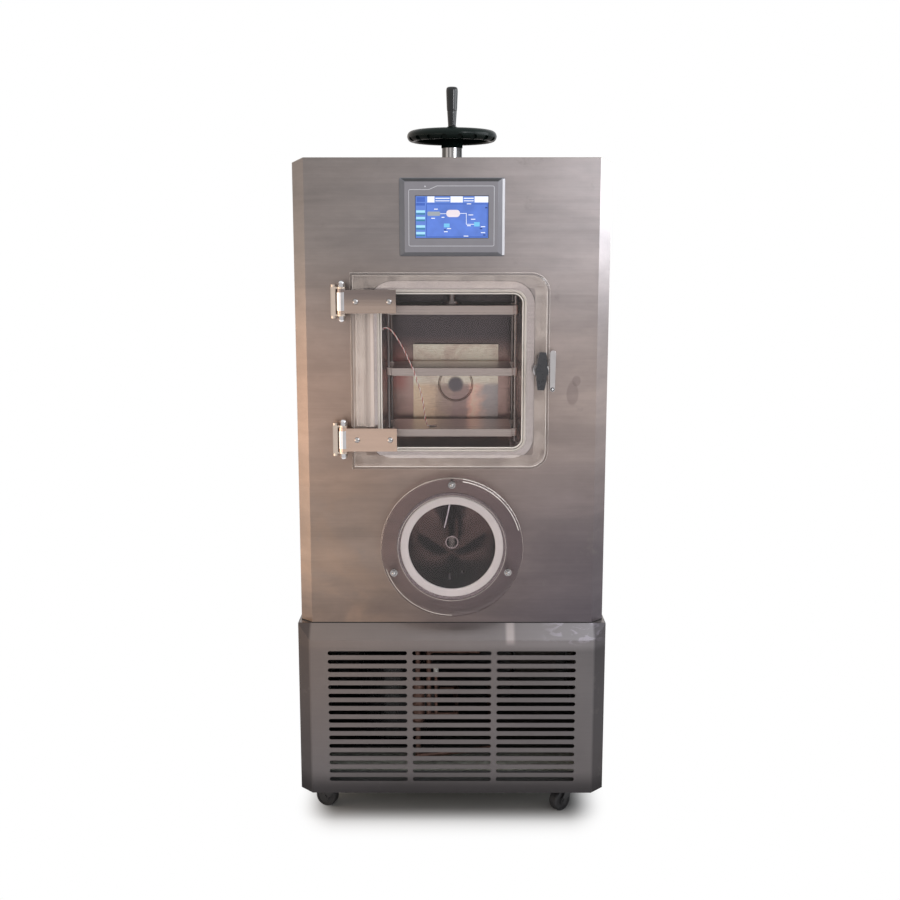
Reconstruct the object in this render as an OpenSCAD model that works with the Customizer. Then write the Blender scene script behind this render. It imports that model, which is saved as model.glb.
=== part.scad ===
// Floor-standing freeze dryer with a hand-driven stoppering press.
// A base on swivel casters carries a stainless cabinet with a shelf chamber
// behind a hinged clear door, a round cold trap behind a clear window,
// a touch panel, and a handwheel on the roof that lowers the press plate.
// X is across, Y runs from the front (-Y) to the back, Z is up from the floor.

/* [Cabinet] */
// Width over the upper cabinet's sides
cabinet_w = 684; // [660:1:720]
// Depth of the upper cabinet, front face to rear face
cabinet_d = 660; // [640:1:720]
// Height of the roof above the floor
roof_z = 1487; // [1460:1:1510]
// Width of the upper cabinet's corner chamfers
cabinet_cut = 27; // [15:1:35]
// Fall of the roof across the chamfer's width
roof_drop = 9; // [4:1:14]
// Thickness of the cabinet's sheet
sheet_t = 1.5; // [1:0.1:2]
// Depth of the folded returns behind the corner chamfers
return_d = 32; // [20:1:40]

/* [Base] */
// How far the base stands out past each side of the upper cabinet
base_margin = 5; // [3:1:10]
// Height of the base's lower edge above the floor
base_z = 70; // [70:1:80]
// Height of the seam between base and upper cabinet
seam_z = 464.5; // [450:0.5:480]
// How far the base stands out in front of the upper cabinet
step_d = 31; // [25:1:45]
// Width of the base's corner chamfers
base_cut = 29; // [15:1:32]
// Rows of louvre slots in the base front
slot_rows = 16; // [8:1:17]
// Columns of louvre slots
slot_cols = 3; // [2:1:3]
// Distance of the slots from the side edges of the base's front face
slot_side = 39.5; // [35:0.5:60]
// Gap between neighbouring slots in a row
slot_gap = 11.5; // [10:0.5:25]
// Height of one louvre slot
slot_h = 9.4; // [5:0.1:12]
// Distance between slot rows
slot_row_pitch = 20; // [16:0.25:20.5]
// Distance of the top row of slots below the seam
slot_top_drop = 61; // [55:0.5:70]
// Thickness of the deck plate under the upper cabinet
deck_t = 3; // [2:0.5:4]

/* [Frame] */
// Leg width of the frame's angle bar
angle_w = 30; // [25:1:35]
// Thickness of the angle bar
angle_t = 3; // [3:0.5:4]
// Gap between the frame and the upper cabinet's sides
frame_side_gap = 15; // [12:1:20]
// Distance of the frame's front behind the cabinet's front face
frame_y = 18; // [16:1:25]
// Distance of the frame's rear in front of the cabinet's rear face
frame_rear_gap = 4; // [3:1:8]

/* [Casters] */
// Diameter of the caster wheels
wheel_d = 50; // [40:1:52]
// Width of the caster wheels
wheel_w = 22; // [16:1:24]
// Distance the wheel trails behind its stem
caster_trail = 24; // [15:1:24]
// Distance of the stems from the base's sides
caster_side_inset = 76; // [65:1:85]
// Distance of the stems from the cabinet's front and rear faces
caster_inset = 46; // [42:1:60]
// Swivel of the four casters: front left, front right, rear left, rear right
caster_yaw = [-20, 40, 0, 0];
// Side of the square caster plates
caster_plate_w = 62; // [56:1:70]
// Radius of the wheel axle
axle_r = 4; // [3:0.5:5]
// Radius of the swivel stem
stem_r = 5; // [4:0.5:6]
// Radial clearance of turning pins in their bores
pin_play = 0.06; // [0.03:0.01:0.1]

/* [Touch panel] */
// Width of the bezel
panel_w = 225; // [200:0.5:240]
// Height of the bezel
panel_h = 164; // [150:1:175]
// Height of the panel's centre above the floor
panel_z = 1363; // [1350:1:1375]
// How far the bezel stands out
panel_t = 8; // [5:1:12]
// Width of the bevel round the bezel
panel_bevel = 6; // [3:1:9]
// Width of the screen
screen_w = 154; // [150:1:160]
// Height of the screen
screen_h = 87; // [84:1:94]
// Depth of the panel's housing behind the front sheet
housing_d = 42; // [30:1:50]
// Clearance of the housing in the front sheet's cut-out
panel_gap = 1; // [0.5:0.5:2]

/* [Chamber] */
// Inside width of the chamber
chamber_w = 302; // [290:1:310]
// Inside height of the chamber
chamber_h = 332; // [322:1:342]
// Inside depth of the chamber behind the cabinet's front face
chamber_d = 364; // [350:1:380]
// Height of the chamber's centre above the floor
chamber_z = 1035; // [1031:1:1039]
// Thickness of the chamber's walls
chamber_t = 6; // [4:1:8]
// Inside corner radius of the chamber
chamber_r = 20; // [12:1:26]
// Width of the front flange round the opening
flange_w = 27; // [22:1:30]
// Corner radius of the front flange
flange_r = 50; // [40:1:55]
// How far the flange stands out of the front sheet
flange_proud = 2; // [1:0.5:3]
// Thickness of the flange
flange_t = 12; // [8:1:14]
// Width of the door gasket
gasket_w = 9; // [6:1:12]
// Gap left between the gasket and the closed door
gasket_gap = 0.3; // [0.3:0.1:1]
// Sideways place of the vapour port
port_x = 9; // [0:1:20]
// Height of the vapour port
port_z = 982; // [970:1:1000]
// Radius of the vapour duct's bore
duct_r = 48; // [40:1:52]
// Width of the baffle plate over the vapour port
baffle_w = 200; // [180:1:210]
// Height of the baffle plate
baffle_h = 188; // [160:1:190]
// Distance of the baffle plate from the back wall
baffle_gap = 26; // [20:1:30]

/* [Shelves and press] */
// Half the width of a shelf
shelf_x = 133; // [125:1:134]
// Thickness of a shelf
shelf_t = 17; // [14:1:18]
// Distance of the shelves' front edges behind the cabinet's front face
shelf_y = 60; // [56:1:70]
// Height of the lower shelf's centre
shelf_low_z = 894; // [890:1:900]
// Distance from each shelf up to the next, with the press up
shelf_pitch = 135.5; // [130:0.5:137]
// Thickness of the press plate
press_t = 20; // [16:1:24]
// Travel of the press plate
press_travel = 50; // [30:1:60]
// Radius of the press spindle
spindle_r = 10; // [8:0.5:12]
// Outer radius of the press column
column_r = 22.5; // [20:0.5:25]
// Bore radius of the press column
column_bore_r = 14; // [12:0.5:16]
// Radius of the guide rods
rod_r = 3.5; // [3:0.5:4]
// Distance of the guide rods from the middle plane
rod_x = 140; // [140:0.5:142]
// Distance of each guide rod in from the shelf's near edge
rod_in = 22; // [16:1:40]
// Clearance of the shelf lugs round the guide rods
lug_play = 0.4; // [0.3:0.1:0.6]

/* [Handwheel] */
// Diameter of the handwheel
handwheel_d = 202; // [160:1:250]
// Height of the middle of the handwheel's rim above the roof
handwheel_rise = 59; // [55:1:65]
// Radius of the rim's section across
rim_w = 12; // [9:0.5:14]
// Half the height of the rim's section
rim_h = 12; // [9:0.5:14]
// Number of finger grooves under the rim
groove_count = 18; // [12:1:24]
// Radius of the hub
hub_r = 24; // [22:1:30]
// Height of the hub's lower face above the roof
hub_rise = 34; // [30:1:38]
// Distance of the turning handle from the wheel's axis
handle_dy = 84; // [80:1:88]
// Length of the turning handle
handle_h = 84; // [60:1:90]
// Radius of the handle at its top
handle_top_r = 12.8; // [10:0.1:15]
// Radius of the handle at its foot
handle_foot_r = 9; // [7:0.5:11]
// Radius of the handle's bolt
handle_bolt_r = 4; // [3:0.5:5]

/* [Door] */
// Distance of the door's hinge edge left of the middle plane
door_left = 217.5; // [214:0.5:220]
// Distance of the door's free edge right of the middle plane
door_right = 209; // [203:0.5:210]
// Height of the door's lower edge
door_low_z = 823; // [817:1:827]
// Height of the door's upper edge
door_top_z = 1247; // [1242:1:1252]
// Thickness of the door plate
door_t = 25; // [18:1:28]
// Distance of the door's front face in front of the cabinet
door_y = 35; // [32:1:40]
// Corner radius at the door's free edge
door_r = 40; // [20:1:45]
// Distance of the hinge axis left of the middle plane
hinge_x = 235; // [234:0.5:238]
// Distance of the hinge axis in front of the cabinet
hinge_y = 30; // [28:1:32]
// Heights of the two hinges
hinge_z = [888.5, 1186];
// Outer radius of the hinge barrel
barrel_r = 10; // [9:0.1:10.5]
// Length of the hinge barrel
barrel_h = 53; // [45:1:54]
// Radius of the hinge pin
hinge_pin_r = 4; // [3:0.5:5]
// Right end of the hinge straps, left of the middle plane
strap_end = 119; // [110:0.5:124]
// Height of the hinge straps
strap_h = 50; // [40:1:52]
// Thickness of the hinge straps
strap_t = 4; // [3:0.5:5]
// Distances of the strap screws left of the middle plane
strap_screw_x = [205, 133.5];
// Thickness of the hinge bracket's ears
ear_t = 4; // [3:0.5:5]
// Width of the hinge bracket's bar
bracket_w = 10.5; // [8:0.5:11]

/* [Latch] */
// Distance of the latch axis right of the middle plane
latch_x = 191; // [188:0.5:192]
// Height of the latch axis
latch_z = 1040; // [1036:1:1044]
// Length of the wing knob
knob_len = 80; // [60:1:84]
// Width of the wing knob's ends
knob_end_w = 14; // [10:1:18]
// Radius of the wing knob's hub
knob_hub_r = 14; // [12:0.5:15]
// Lean of the wing knob at rest
knob_lean = 2.5; // [0:0.5:5]
// Depth of the wing knob
knob_d = 26; // [20:1:28]
// Radius of the metal rose under the knob
rose_r = 17; // [15:0.5:18]
// Radius of the latch spindle
latch_pin_r = 5; // [4:0.5:6]
// Reach of the pawl from the latch axis
pawl_reach = 34; // [32:0.5:35]
// Thickness of the pawl
pawl_t = 4; // [3:0.5:5]
// Distance of the keeper bar right of the middle plane
keeper_x = 218; // [217.5:0.5:219]
// Width of the keeper bar
keeper_w = 13; // [10:0.5:14]
// Length of the keeper bar
keeper_len = 90; // [80:1:100]
// Distance of the keeper bar's centre below the latch axis
keeper_drop = 4; // [0:0.5:6]

/* [Cold trap] */
// Height of the trap's axis
trap_z = 645; // [635:1:647]
// Inside radius of the trap
trap_r = 99; // [95:1:103]
// Depth of the trap behind the cabinet's front face
trap_d = 500; // [490:1:520]
// Wall thickness of the trap
trap_t = 4; // [3:0.5:5]
// Radius of the raised face round the trap's mouth
trap_face_r = 121.5; // [118:0.5:126]
// Radius of the seal ring
seal_r = 114; // [110:1:118]
// Depth of the seal ring
seal_d = 9; // [6:1:10]
// Radius of the window disc
window_r = 157.5; // [155:0.5:162]
// Thickness of the window disc
window_t = 20; // [15:1:24]
// Places of the three window bolts from the trap's axis, across and up
window_bolts = [[0, 143], [-128, -55], [124, -54]];
// Radius of the window studs
stud_r = 3.5; // [3:0.5:4]
// Radius of the suction pipe along the trap's axis
suction_r = 14.75; // [14.25:0.25:16]
// Distance of the suction pipe's mouth behind the front face
suction_y = 56; // [40:2:150]
// Thickness of the trap's foam jacket
foam_t = 18; // [12:1:24]
// Turns of the evaporator coil round the trap
coil_turns = 9; // [6:1:10]
// Radius of the evaporator tube
coil_tube_r = 5; // [4:0.5:6]

/* [Machine bay] */
// Distance of the compressor left of the middle plane
compressor_x = 140; // [120:5:170]
// Distance of the compressor behind the front face
compressor_y = 250; // [200:5:300]
// Radius of the compressor's shell
compressor_r = 92; // [80:1:100]
// Height of the compressor's shell
compressor_h = 240; // [200:5:260]
// Width of the condenser block
condenser_w = 320; // [280:5:340]
// Height of the condenser block
condenser_h = 270; // [250:5:290]
// Depth of the condenser block
condenser_d = 66; // [50:2:80]
// Radius of the fan's opening
fan_r = 118; // [100:1:122]
// Number of fan blades
fan_blades = 5; // [4:1:7]
// Distance of the condenser's front in front of the cabinet's rear face
condenser_inset = 140; // [130:5:160]
// Radius of the copper pipes
pipe_r = 6; // [5:0.5:7]
// Distance of the front pipe risers behind the cabinet's front face
pipe_y = 84; // [70:2:100]
// Distance of the service valve left of the middle plane
valve_x = 37; // [30:1:45]
// Height of the service valve's cap
valve_z = 311; // [300:1:330]

/* [Rear services] */
// Distance the vacuum port stands out behind the cabinet
port_reach = 45; // [35:1:55]
// Outer radius of the vacuum port's flange
port_flange_r = 20; // [19:0.5:22]
// Radius of the centring recess in the vacuum port
port_recess_r = 13.1; // [13:0.1:13.5]
// Distance of the mains inlet right of the middle plane
inlet_x = 230; // [200:5:260]
// Height of the mains inlet
inlet_z = 560; // [540:5:600]
// Bore radius of the mains inlet's gland
inlet_r = 6.5; // [5:0.5:8]

/* [Hidden] */
$fn = 96;

rose_t = 4;
knob_gap = 5;
over = 1;
fit_gap = 0.3;
press_gap = 0.05;
stud_play = 0.4;
front_reach = door_y + rose_t + knob_d;
// The cabinet's front face, with the whole object centred on Y = 0
front_y = (front_reach - cabinet_d - port_reach) / 2;

base_w = cabinet_w + 2 * base_margin;
front_w = base_w - 2 * base_cut;
shoulder_z = seam_z - step_d;
wall_top_z = roof_z - roof_drop - sheet_t;
skin_y = cabinet_cut + return_d;
slot_len = (front_w - 2 * slot_side - (slot_cols - 1) * slot_gap) / slot_cols;
slot_col_pitch = slot_len + slot_gap;
slot_top_z = seam_z - slot_top_drop;

frame_x = cabinet_w / 2 - frame_side_gap;
frame_rear = cabinet_d - frame_rear_gap;
caster_x = base_w / 2 - caster_side_inset;
pad_margin = 5;
// Stem positions: front left, front right, rear left, rear right
caster_places = [
    [-caster_x, caster_inset], [caster_x, caster_inset],
    [-caster_x, cabinet_d - caster_inset], [caster_x, cabinet_d - caster_inset],
];

// The panel's housing is this much smaller all round than its bezel
housing_inset = 6;
screen_t = 4;
screen_front = panel_t - 1.2;

flange_h = chamber_h + 2 * flange_w;
chamber_roof = chamber_z + chamber_h / 2;
chamber_floor = chamber_z - chamber_h / 2;
// The press stands over the middle of the chamber
press_y = chamber_d / 2;
shelf_d = 2 * (press_y - shelf_y);
rod_dy = shelf_d / 2 - rod_in;
shelf_mid_z = shelf_low_z + shelf_pitch;
press_z = shelf_mid_z + shelf_pitch;
// The rods stop just short of the chamber's rounded corners
rod_edge = rod_x + rod_r - (chamber_w / 2 - chamber_r);
rod_inset = chamber_r - sqrt(chamber_r ^ 2 - rod_edge ^ 2) + fit_gap;

handwheel_z = roof_z + handwheel_rise;
hub_z = roof_z + hub_rise;
hub_h = 37;

duct_bend_r = 75;
trap_lip = 3;
trap_flange_r = window_r;
trap_flange_t = 8;
window_back = trap_lip + seal_d;

// The evaporator tube round the trap, as straight runs between even steps
coil_sides = 8;
coil_steps = 20;
coil_pitch = 34;
coil_start = 60;
coil_r = (trap_r + trap_t + coil_tube_r + fit_gap) / cos(180 / coil_steps);

ear_z = barrel_h / 2 + 0.4;
screw_r = 4;

// Floor of the machine bay and the parts that stand on it
floor_t = 2;
bay_z = base_z + angle_t + floor_t;
shell_z = bay_z + 16;
stub_z = shell_z + compressor_h / 2;
stub_x = -compressor_x + compressor_r + 18;
condenser_y = cabinet_d - condenser_inset;
condenser_z = bay_z + 5;
fan_y = condenser_y + condenser_d + 4;
fan_z = condenser_z + condenser_h / 2;
fan_axle_r = 4;
deck_hole = [60, cabinet_d - 100];
deck_hole_r = 26;

// Way of the probe lead from the chamber's left wall to the lower shelf
probe_points = [
    [-149, 20, 1127], [-140, 20, 1128], [-129, 20, 1120], [-118, 24, 1104], [-108, 28, 1087],
    [-99, 33, 1068], [-90, 37, 1048], [-82, 40, 1029], [-76, 43, 1010], [-70, 47, 991],
    [-65, 52, 970], [-62, 58, 950], [-60, 66, 931], [-57, 76, 916], [-54, 88, 907.5], [-51, 100, 905.2],
];
lead_r = 1.5;
lead_sides = 8;

steel = [0.70, 0.67, 0.64];
chrome = [0.86, 0.87, 0.89];
black = [0.06, 0.06, 0.07];
clear = [0.85, 0.90, 0.92, 0.35];
copper = [0.72, 0.42, 0.28];

// ---- placing and shared shapes ----

module at_front(y = 0) {
    translate([0, front_y + y, 0]) children();
}

// A flat XZ outline made solid from y0 back to y1
module slab_y(y0, y1) {
    translate([0, y1, 0]) rotate([90, 0, 0]) linear_extrude(y1 - y0) children();
}

// A YZ outline made solid across the full width w
module slab_x(w) {
    translate([-w / 2, 0, 0]) rotate([90, 0, 90]) linear_extrude(w) children();
}

module round_rect(w, h, r) {
    square([w - 2 * r, h], center = true);
    square([w, h - 2 * r], center = true);
    for (sx = [-1, 1], sy = [-1, 1]) {
        translate([sx * (w / 2 - r), sy * (h / 2 - r)]) circle(r);
    }
}

module stadium(len, h) {
    square([len - h, h], center = true);
    for (s = [-1, 1]) translate([s * (len - h) / 2, 0]) circle(h / 2, $fn = 32);
}

module tube(r_out, r_in, h) {
    difference() {
        cylinder(r = r_out, h = h);
        translate([0, 0, -over]) cylinder(r = r_in, h = h + 2 * over);
    }
}

// A cylinder along +Y from y0 to y1
module cylinder_y(r, y0, y1) {
    translate([0, y0, 0]) rotate([-90, 0, 0]) cylinder(r = r, h = y1 - y0);
}

// A round bar from point a to point b
module bar_between(a, b, r) {
    v = b - a;
    translate(a) rotate([0, acos(v.z / norm(v)), atan2(v.y, v.x)]) cylinder(r = r, h = norm(v));
}

// A pipe through a list of points, with a round brazed fitting at each bend
module pipe_run(points, r) {
    for (i = [0 : len(points) - 2]) bar_between(points[i], points[i + 1], r);
    for (i = [1 : len(points) - 2]) translate(points[i]) sphere(r + 1.5);
}

// Plan outline of a box with cut front corners, inset all round
function cut_plan(w, d, cut, inset) =
    let (k = inset * (sqrt(2) - 1), x = w / 2 - inset)
    [
        [-(w / 2 - cut - k), inset], [w / 2 - cut - k, inset], [x, cut + k],
        [x, d - inset], [-x, d - inset], [-x, cut + k],
    ];

// ---- sheet-metal skins ----

// Everything below the roof sheet
module under_roof() {
    at_front() slab_y(-over, cabinet_d + over) polygon([
        [-cabinet_w / 2 - over, 0], [cabinet_w / 2 + over, 0],
        [cabinet_w / 2 + over, wall_top_z], [cabinet_w / 2, wall_top_z],
        [cabinet_w / 2 - cabinet_cut, roof_z - sheet_t],
        [-(cabinet_w / 2 - cabinet_cut), roof_z - sheet_t],
        [-cabinet_w / 2, wall_top_z], [-cabinet_w / 2 - over, wall_top_z],
    ]);
}

// The upper cabinet's wall sheet between two depths
module cabinet_skin(y0, y1) {
    intersection() {
        under_roof();
        at_front() translate([0, 0, seam_z]) linear_extrude(roof_z - seam_z) intersection() {
            difference() {
                polygon(cut_plan(cabinet_w, cabinet_d, cabinet_cut, 0));
                polygon(cut_plan(cabinet_w, cabinet_d, cabinet_cut, sheet_t));
            }
            translate([-cabinet_w / 2, y0]) square([cabinet_w, y1 - y0]);
        }
    }
}

module base_form(inset, top) {
    shoulder = inset * sqrt(2);
    intersection() {
        at_front(-step_d) translate([0, 0, base_z]) linear_extrude(top - base_z)
            polygon(cut_plan(base_w, cabinet_d + step_d, base_cut, inset));
        at_front() slab_x(base_w) polygon([
            [cabinet_d, base_z], [cabinet_d, top], [top - seam_z + shoulder, top],
            [-step_d + inset, shoulder_z + inset - shoulder], [-step_d + inset, base_z],
        ]);
    }
}

// The base's wall sheet between two depths
module base_skin(y0, y1) {
    intersection() {
        difference() {
            base_form(0, seam_z);
            base_form(sheet_t, seam_z + over);
        }
        at_front(y0) translate([-base_w / 2, 0, base_z]) cube([base_w, y1 - y0, seam_z - base_z]);
    }
}

module slot_grid(rows, cols, len, h, row_pitch, col_pitch) {
    for (r = [0 : rows - 1], c = [0 : cols - 1]) {
        translate([(c - (cols - 1) / 2) * col_pitch, -r * row_pitch]) stadium(len, h);
    }
}

// ---- base ----

// Angle bar upright with its corner at the origin and its legs along +X and +Y
module angle_post(h) {
    linear_extrude(h) polygon([
        [0, 0], [angle_w, 0], [angle_w, angle_t], [angle_t, angle_t], [angle_t, angle_w], [0, angle_w],
    ]);
}

// Four posts at the frame's corners
module frame_posts(z0, z1) {
    for (sx = [0, 1], sy = [0, 1]) mirror([sx, 0, 0]) {
        at_front() translate([-frame_x, sy == 0 ? frame_y : frame_rear, z0]) mirror([0, sy, 0])
            angle_post(z1 - z0);
    }
}

// A level rectangle of angle bar: an upright leg outside and a flat leg at flat_z
module frame_ring(z0, flat_z) {
    ring_d = frame_rear - frame_y;
    at_front(frame_y) translate([0, 0, z0]) difference() {
        translate([-frame_x, 0, 0]) cube([2 * frame_x, ring_d, angle_w]);
        translate([angle_t - frame_x, angle_t, -over])
            cube([2 * (frame_x - angle_t), ring_d - 2 * angle_t, angle_w + 2 * over]);
    }
    at_front(frame_y) translate([0, 0, flat_z]) difference() {
        translate([-frame_x, 0, 0]) cube([2 * frame_x, ring_d, angle_t]);
        translate([angle_w - frame_x, angle_w, -over])
            cube([2 * (frame_x - angle_w), ring_d - 2 * angle_w, angle_t + 2 * over]);
    }
}

module base_frame() {
    pad = caster_plate_w + 2 * pad_margin;
    frame_top = seam_z - deck_t;
    color([0.55, 0.56, 0.57]) {
        frame_posts(base_z, frame_top);
        frame_ring(base_z, base_z);
        frame_ring(frame_top - angle_w, frame_top - angle_t);
        intersection() {
            for (p = caster_places) at_front() translate([p.x - pad / 2, p.y - pad / 2, base_z])
                cube([pad, pad, angle_t]);
            at_front(frame_y) translate([-frame_x, 0, base_z])
                cube([2 * frame_x, frame_rear - frame_y, angle_t]);
        }
    }
}

module base_front_panel() {
    front_d = base_cut - step_d + return_d;
    lip_d = caster_inset - caster_plate_w / 2 - 2 * pad_margin;
    color([0.58, 0.54, 0.51]) {
        difference() {
            base_skin(-step_d, front_d);
            at_front() slab_y(-step_d - over, -step_d + sheet_t + over)
                translate([0, slot_top_z])
                slot_grid(slot_rows, slot_cols, slot_len, slot_h, slot_row_pitch, slot_col_pitch);
        }
        intersection() {
            base_form(0, seam_z);
            at_front(-step_d) translate([-base_w / 2, 0, base_z])
                cube([base_w, step_d + lip_d, sheet_t]);
        }
    }
}

module base_side_panels() {
    front_d = base_cut - step_d + return_d;
    color(steel) base_skin(front_d, cabinet_d - sheet_t);
}

module base_rear_panel() {
    color(steel) difference() {
        base_skin(cabinet_d - sheet_t, cabinet_d);
        at_front() slab_y(cabinet_d - sheet_t - over, cabinet_d + over) {
            translate([0, slot_top_z - 2 * slot_row_pitch])
                slot_grid(slot_rows - 3, 2, fan_r, slot_h, slot_row_pitch, fan_r + slot_gap);
        }
    }
}

module floor_plate() {
    gap = 0.5;
    inset = angle_t + gap;
    color([0.66, 0.66, 0.65])
        at_front(frame_y + inset) translate([inset - frame_x, 0, base_z + angle_t])
        cube([2 * (frame_x - inset), frame_rear - frame_y - 2 * inset, floor_t]);
}

module deck_plate() {
    front = sheet_t * sqrt(2) + fit_gap;
    side = sheet_t + fit_gap;
    color(steel) difference() {
        at_front(front) translate([side - base_w / 2, 0, seam_z - deck_t])
            cube([base_w - 2 * side, cabinet_d - side - front, deck_t]);
        at_front() translate([deck_hole.x, deck_hole.y, seam_z - deck_t - over])
            cylinder(r = deck_hole_r, h = deck_t + 2 * over);
    }
}

// ---- casters ----

module caster_plates() {
    plate_t = 3;
    race_r = 21;
    race_h = 7;
    race_z = base_z - plate_t - race_h;
    color([0.62, 0.63, 0.64]) for (p = caster_places) at_front() translate([p.x, p.y, 0]) difference() {
        union() {
            translate([-caster_plate_w / 2, -caster_plate_w / 2, base_z - plate_t])
                cube([caster_plate_w, caster_plate_w, plate_t]);
            translate([0, 0, race_z]) cylinder(r = race_r, h = race_h);
        }
        translate([0, 0, race_z - over]) cylinder(r = stem_r + pin_play, h = base_z - race_z + 2 * over);
    }
}

// Puts a caster's moving piece under its stem, swivelled to its rest position
module at_caster(index) {
    p = caster_places[index];
    at_front() translate([p.x, p.y, 0]) rotate(caster_yaw[index]) children();
}

// One swivel fork with its axle rivet, trailing towards -X before the swivel
module caster_fork(index) {
    crown_z = base_z - 14;
    crown_r = 19;
    cheek = 2.5;
    cheek_y = wheel_w / 2 + 1;
    axle_z = wheel_d / 2;
    eye_r = 8.5;
    rivet_y = cheek_y + cheek + 2;
    color([0.20, 0.20, 0.21]) at_caster(index) {
        translate([0, 0, crown_z]) cylinder(r = crown_r, h = 3.5);
        translate([0, 0, crown_z]) cylinder(r = stem_r, h = base_z - 1 - crown_z);
        for (s = [0, 1]) mirror([0, s, 0]) slab_y(cheek_y, cheek_y + cheek) {
            polygon([
                [-15, crown_z + 1], [13, crown_z + 1],
                [eye_r - caster_trail, axle_z - 3], [-eye_r - caster_trail, axle_z - 3],
            ]);
            translate([-caster_trail, axle_z]) circle(eye_r, $fn = 48);
        }
        translate([-caster_trail, 0, axle_z]) cylinder_y(axle_r, -rivet_y, rivet_y);
    }
}

module caster_wheel(index) {
    tread = wheel_w / 2;
    rim = wheel_d / 2;
    bore = axle_r + pin_play;
    web = tread - 2;
    hub = tread + 0.5;
    color([0.16, 0.16, 0.17]) at_caster(index) translate([-caster_trail, 0, rim])
        rotate([90, 0, 0]) rotate_extrude() polygon([
            [bore, -hub], [9, -hub], [10, -web],
            [rim - 6, -web], [rim - 5, -tread], [rim - 2, -tread], [rim, 3 - tread],
            [rim, tread - 3], [rim - 2, tread], [rim - 5, tread], [rim - 6, web],
            [10, web], [9, hub], [bore, hub],
        ]);
}

module caster_fork_fl() { caster_fork(0); }
module caster_fork_fr() { caster_fork(1); }
module caster_fork_rl() { caster_fork(2); }
module caster_fork_rr() { caster_fork(3); }
module caster_wheel_fl() { caster_wheel(0); }
module caster_wheel_fr() { caster_wheel(1); }
module caster_wheel_rl() { caster_wheel(2); }
module caster_wheel_rr() { caster_wheel(3); }

// ---- upper cabinet ----

module cabinet_frame() {
    rail_z = chamber_floor - chamber_t - angle_w;
    frame_top = wall_top_z - 2;
    color([0.55, 0.56, 0.57]) {
        frame_posts(seam_z, frame_top);
        frame_ring(frame_top - angle_w, frame_top - angle_t);
        // Rails that carry the chamber
        for (y = [shelf_y, chamber_d - angle_w]) at_front(y) translate([-frame_x, 0, rail_z]) {
            cube([2 * frame_x, angle_t, angle_w]);
            translate([0, 0, angle_w - angle_t]) cube([2 * frame_x, angle_w, angle_t]);
        }
        for (s = [0, 1]) mirror([s, 0, 0]) at_front(frame_y) translate([-frame_x, 0, rail_z])
            cube([angle_t, frame_rear - frame_y, angle_w]);
    }
}

module cabinet_front_panel() {
    play = 1;
    color(steel) difference() {
        cabinet_skin(0, skin_y);
        at_front() slab_y(-over, sheet_t + over) {
            translate([0, panel_z])
                square([panel_w - 2 * housing_inset, panel_h - 2 * housing_inset], center = true);
            translate([0, chamber_z])
                round_rect(chamber_w + 2 * (flange_w + play), flange_h + 2 * play, flange_r + play);
            translate([0, trap_z]) circle(trap_face_r + play);
            translate([0, trap_z]) window_bolt_circle() circle(stud_r + stud_play, $fn = 32);
        }
    }
}

module cabinet_side_panels() {
    color(steel) cabinet_skin(skin_y, cabinet_d - sheet_t);
}

module cabinet_rear_panel() {
    color(steel) difference() {
        cabinet_skin(cabinet_d - sheet_t, cabinet_d);
        at_front() slab_y(cabinet_d - sheet_t - over, cabinet_d + over) {
            translate([0, trap_z]) circle(suction_r + 1);
            translate([inlet_x, inlet_z]) circle(inlet_r + 5.5);
            translate([0, panel_z + panel_h / 2 - slot_row_pitch])
                slot_grid(slot_rows / 2, 2, slot_len, slot_h, slot_row_pitch, slot_col_pitch);
        }
    }
}

module top_cover() {
    slope_x = cabinet_w / 2 - cabinet_cut;
    color(steel) difference() {
        intersection() {
            at_front() slab_y(0, cabinet_d) polygon([
                [-cabinet_w / 2, wall_top_z], [-slope_x, roof_z - sheet_t], [slope_x, roof_z - sheet_t],
                [cabinet_w / 2, wall_top_z], [cabinet_w / 2, wall_top_z + sheet_t], [slope_x, roof_z],
                [-slope_x, roof_z], [-cabinet_w / 2, wall_top_z + sheet_t],
            ]);
            at_front() translate([0, 0, wall_top_z]) linear_extrude(roof_drop + 2 * sheet_t)
                polygon(cut_plan(cabinet_w, cabinet_d, cabinet_cut, 0));
        }
        at_front(press_y) translate([0, 0, roof_z - sheet_t - over])
            cylinder(r = column_r + 0.5, h = sheet_t + 2 * over);
    }
}

// ---- touch panel ----

module touch_panel_bezel() {
    housing = [panel_w - 2 * (housing_inset + panel_gap), panel_h - 2 * (housing_inset + panel_gap)];
    color([0.50, 0.52, 0.54]) at_front() translate([0, 0, panel_z]) difference() {
        union() {
            hull() {
                slab_y(-2, 0) square([panel_w, panel_h], center = true);
                slab_y(-panel_t, -panel_t + 1)
                    square([panel_w - 2 * panel_bevel, panel_h - 2 * panel_bevel], center = true);
            }
            slab_y(-over, housing_d) square(housing, center = true);
        }
        slab_y(-panel_t - over, screen_t - screen_front)
            square([screen_w + 2 * fit_gap, screen_h + 2 * fit_gap], center = true);
    }
}

module touch_panel_screen() {
    color([0.15, 0.35, 0.85]) at_front() translate([0, 0, panel_z])
        slab_y(-screen_front, screen_t - screen_front) square([screen_w, screen_h], center = true);
}

// ---- chamber ----

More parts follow.
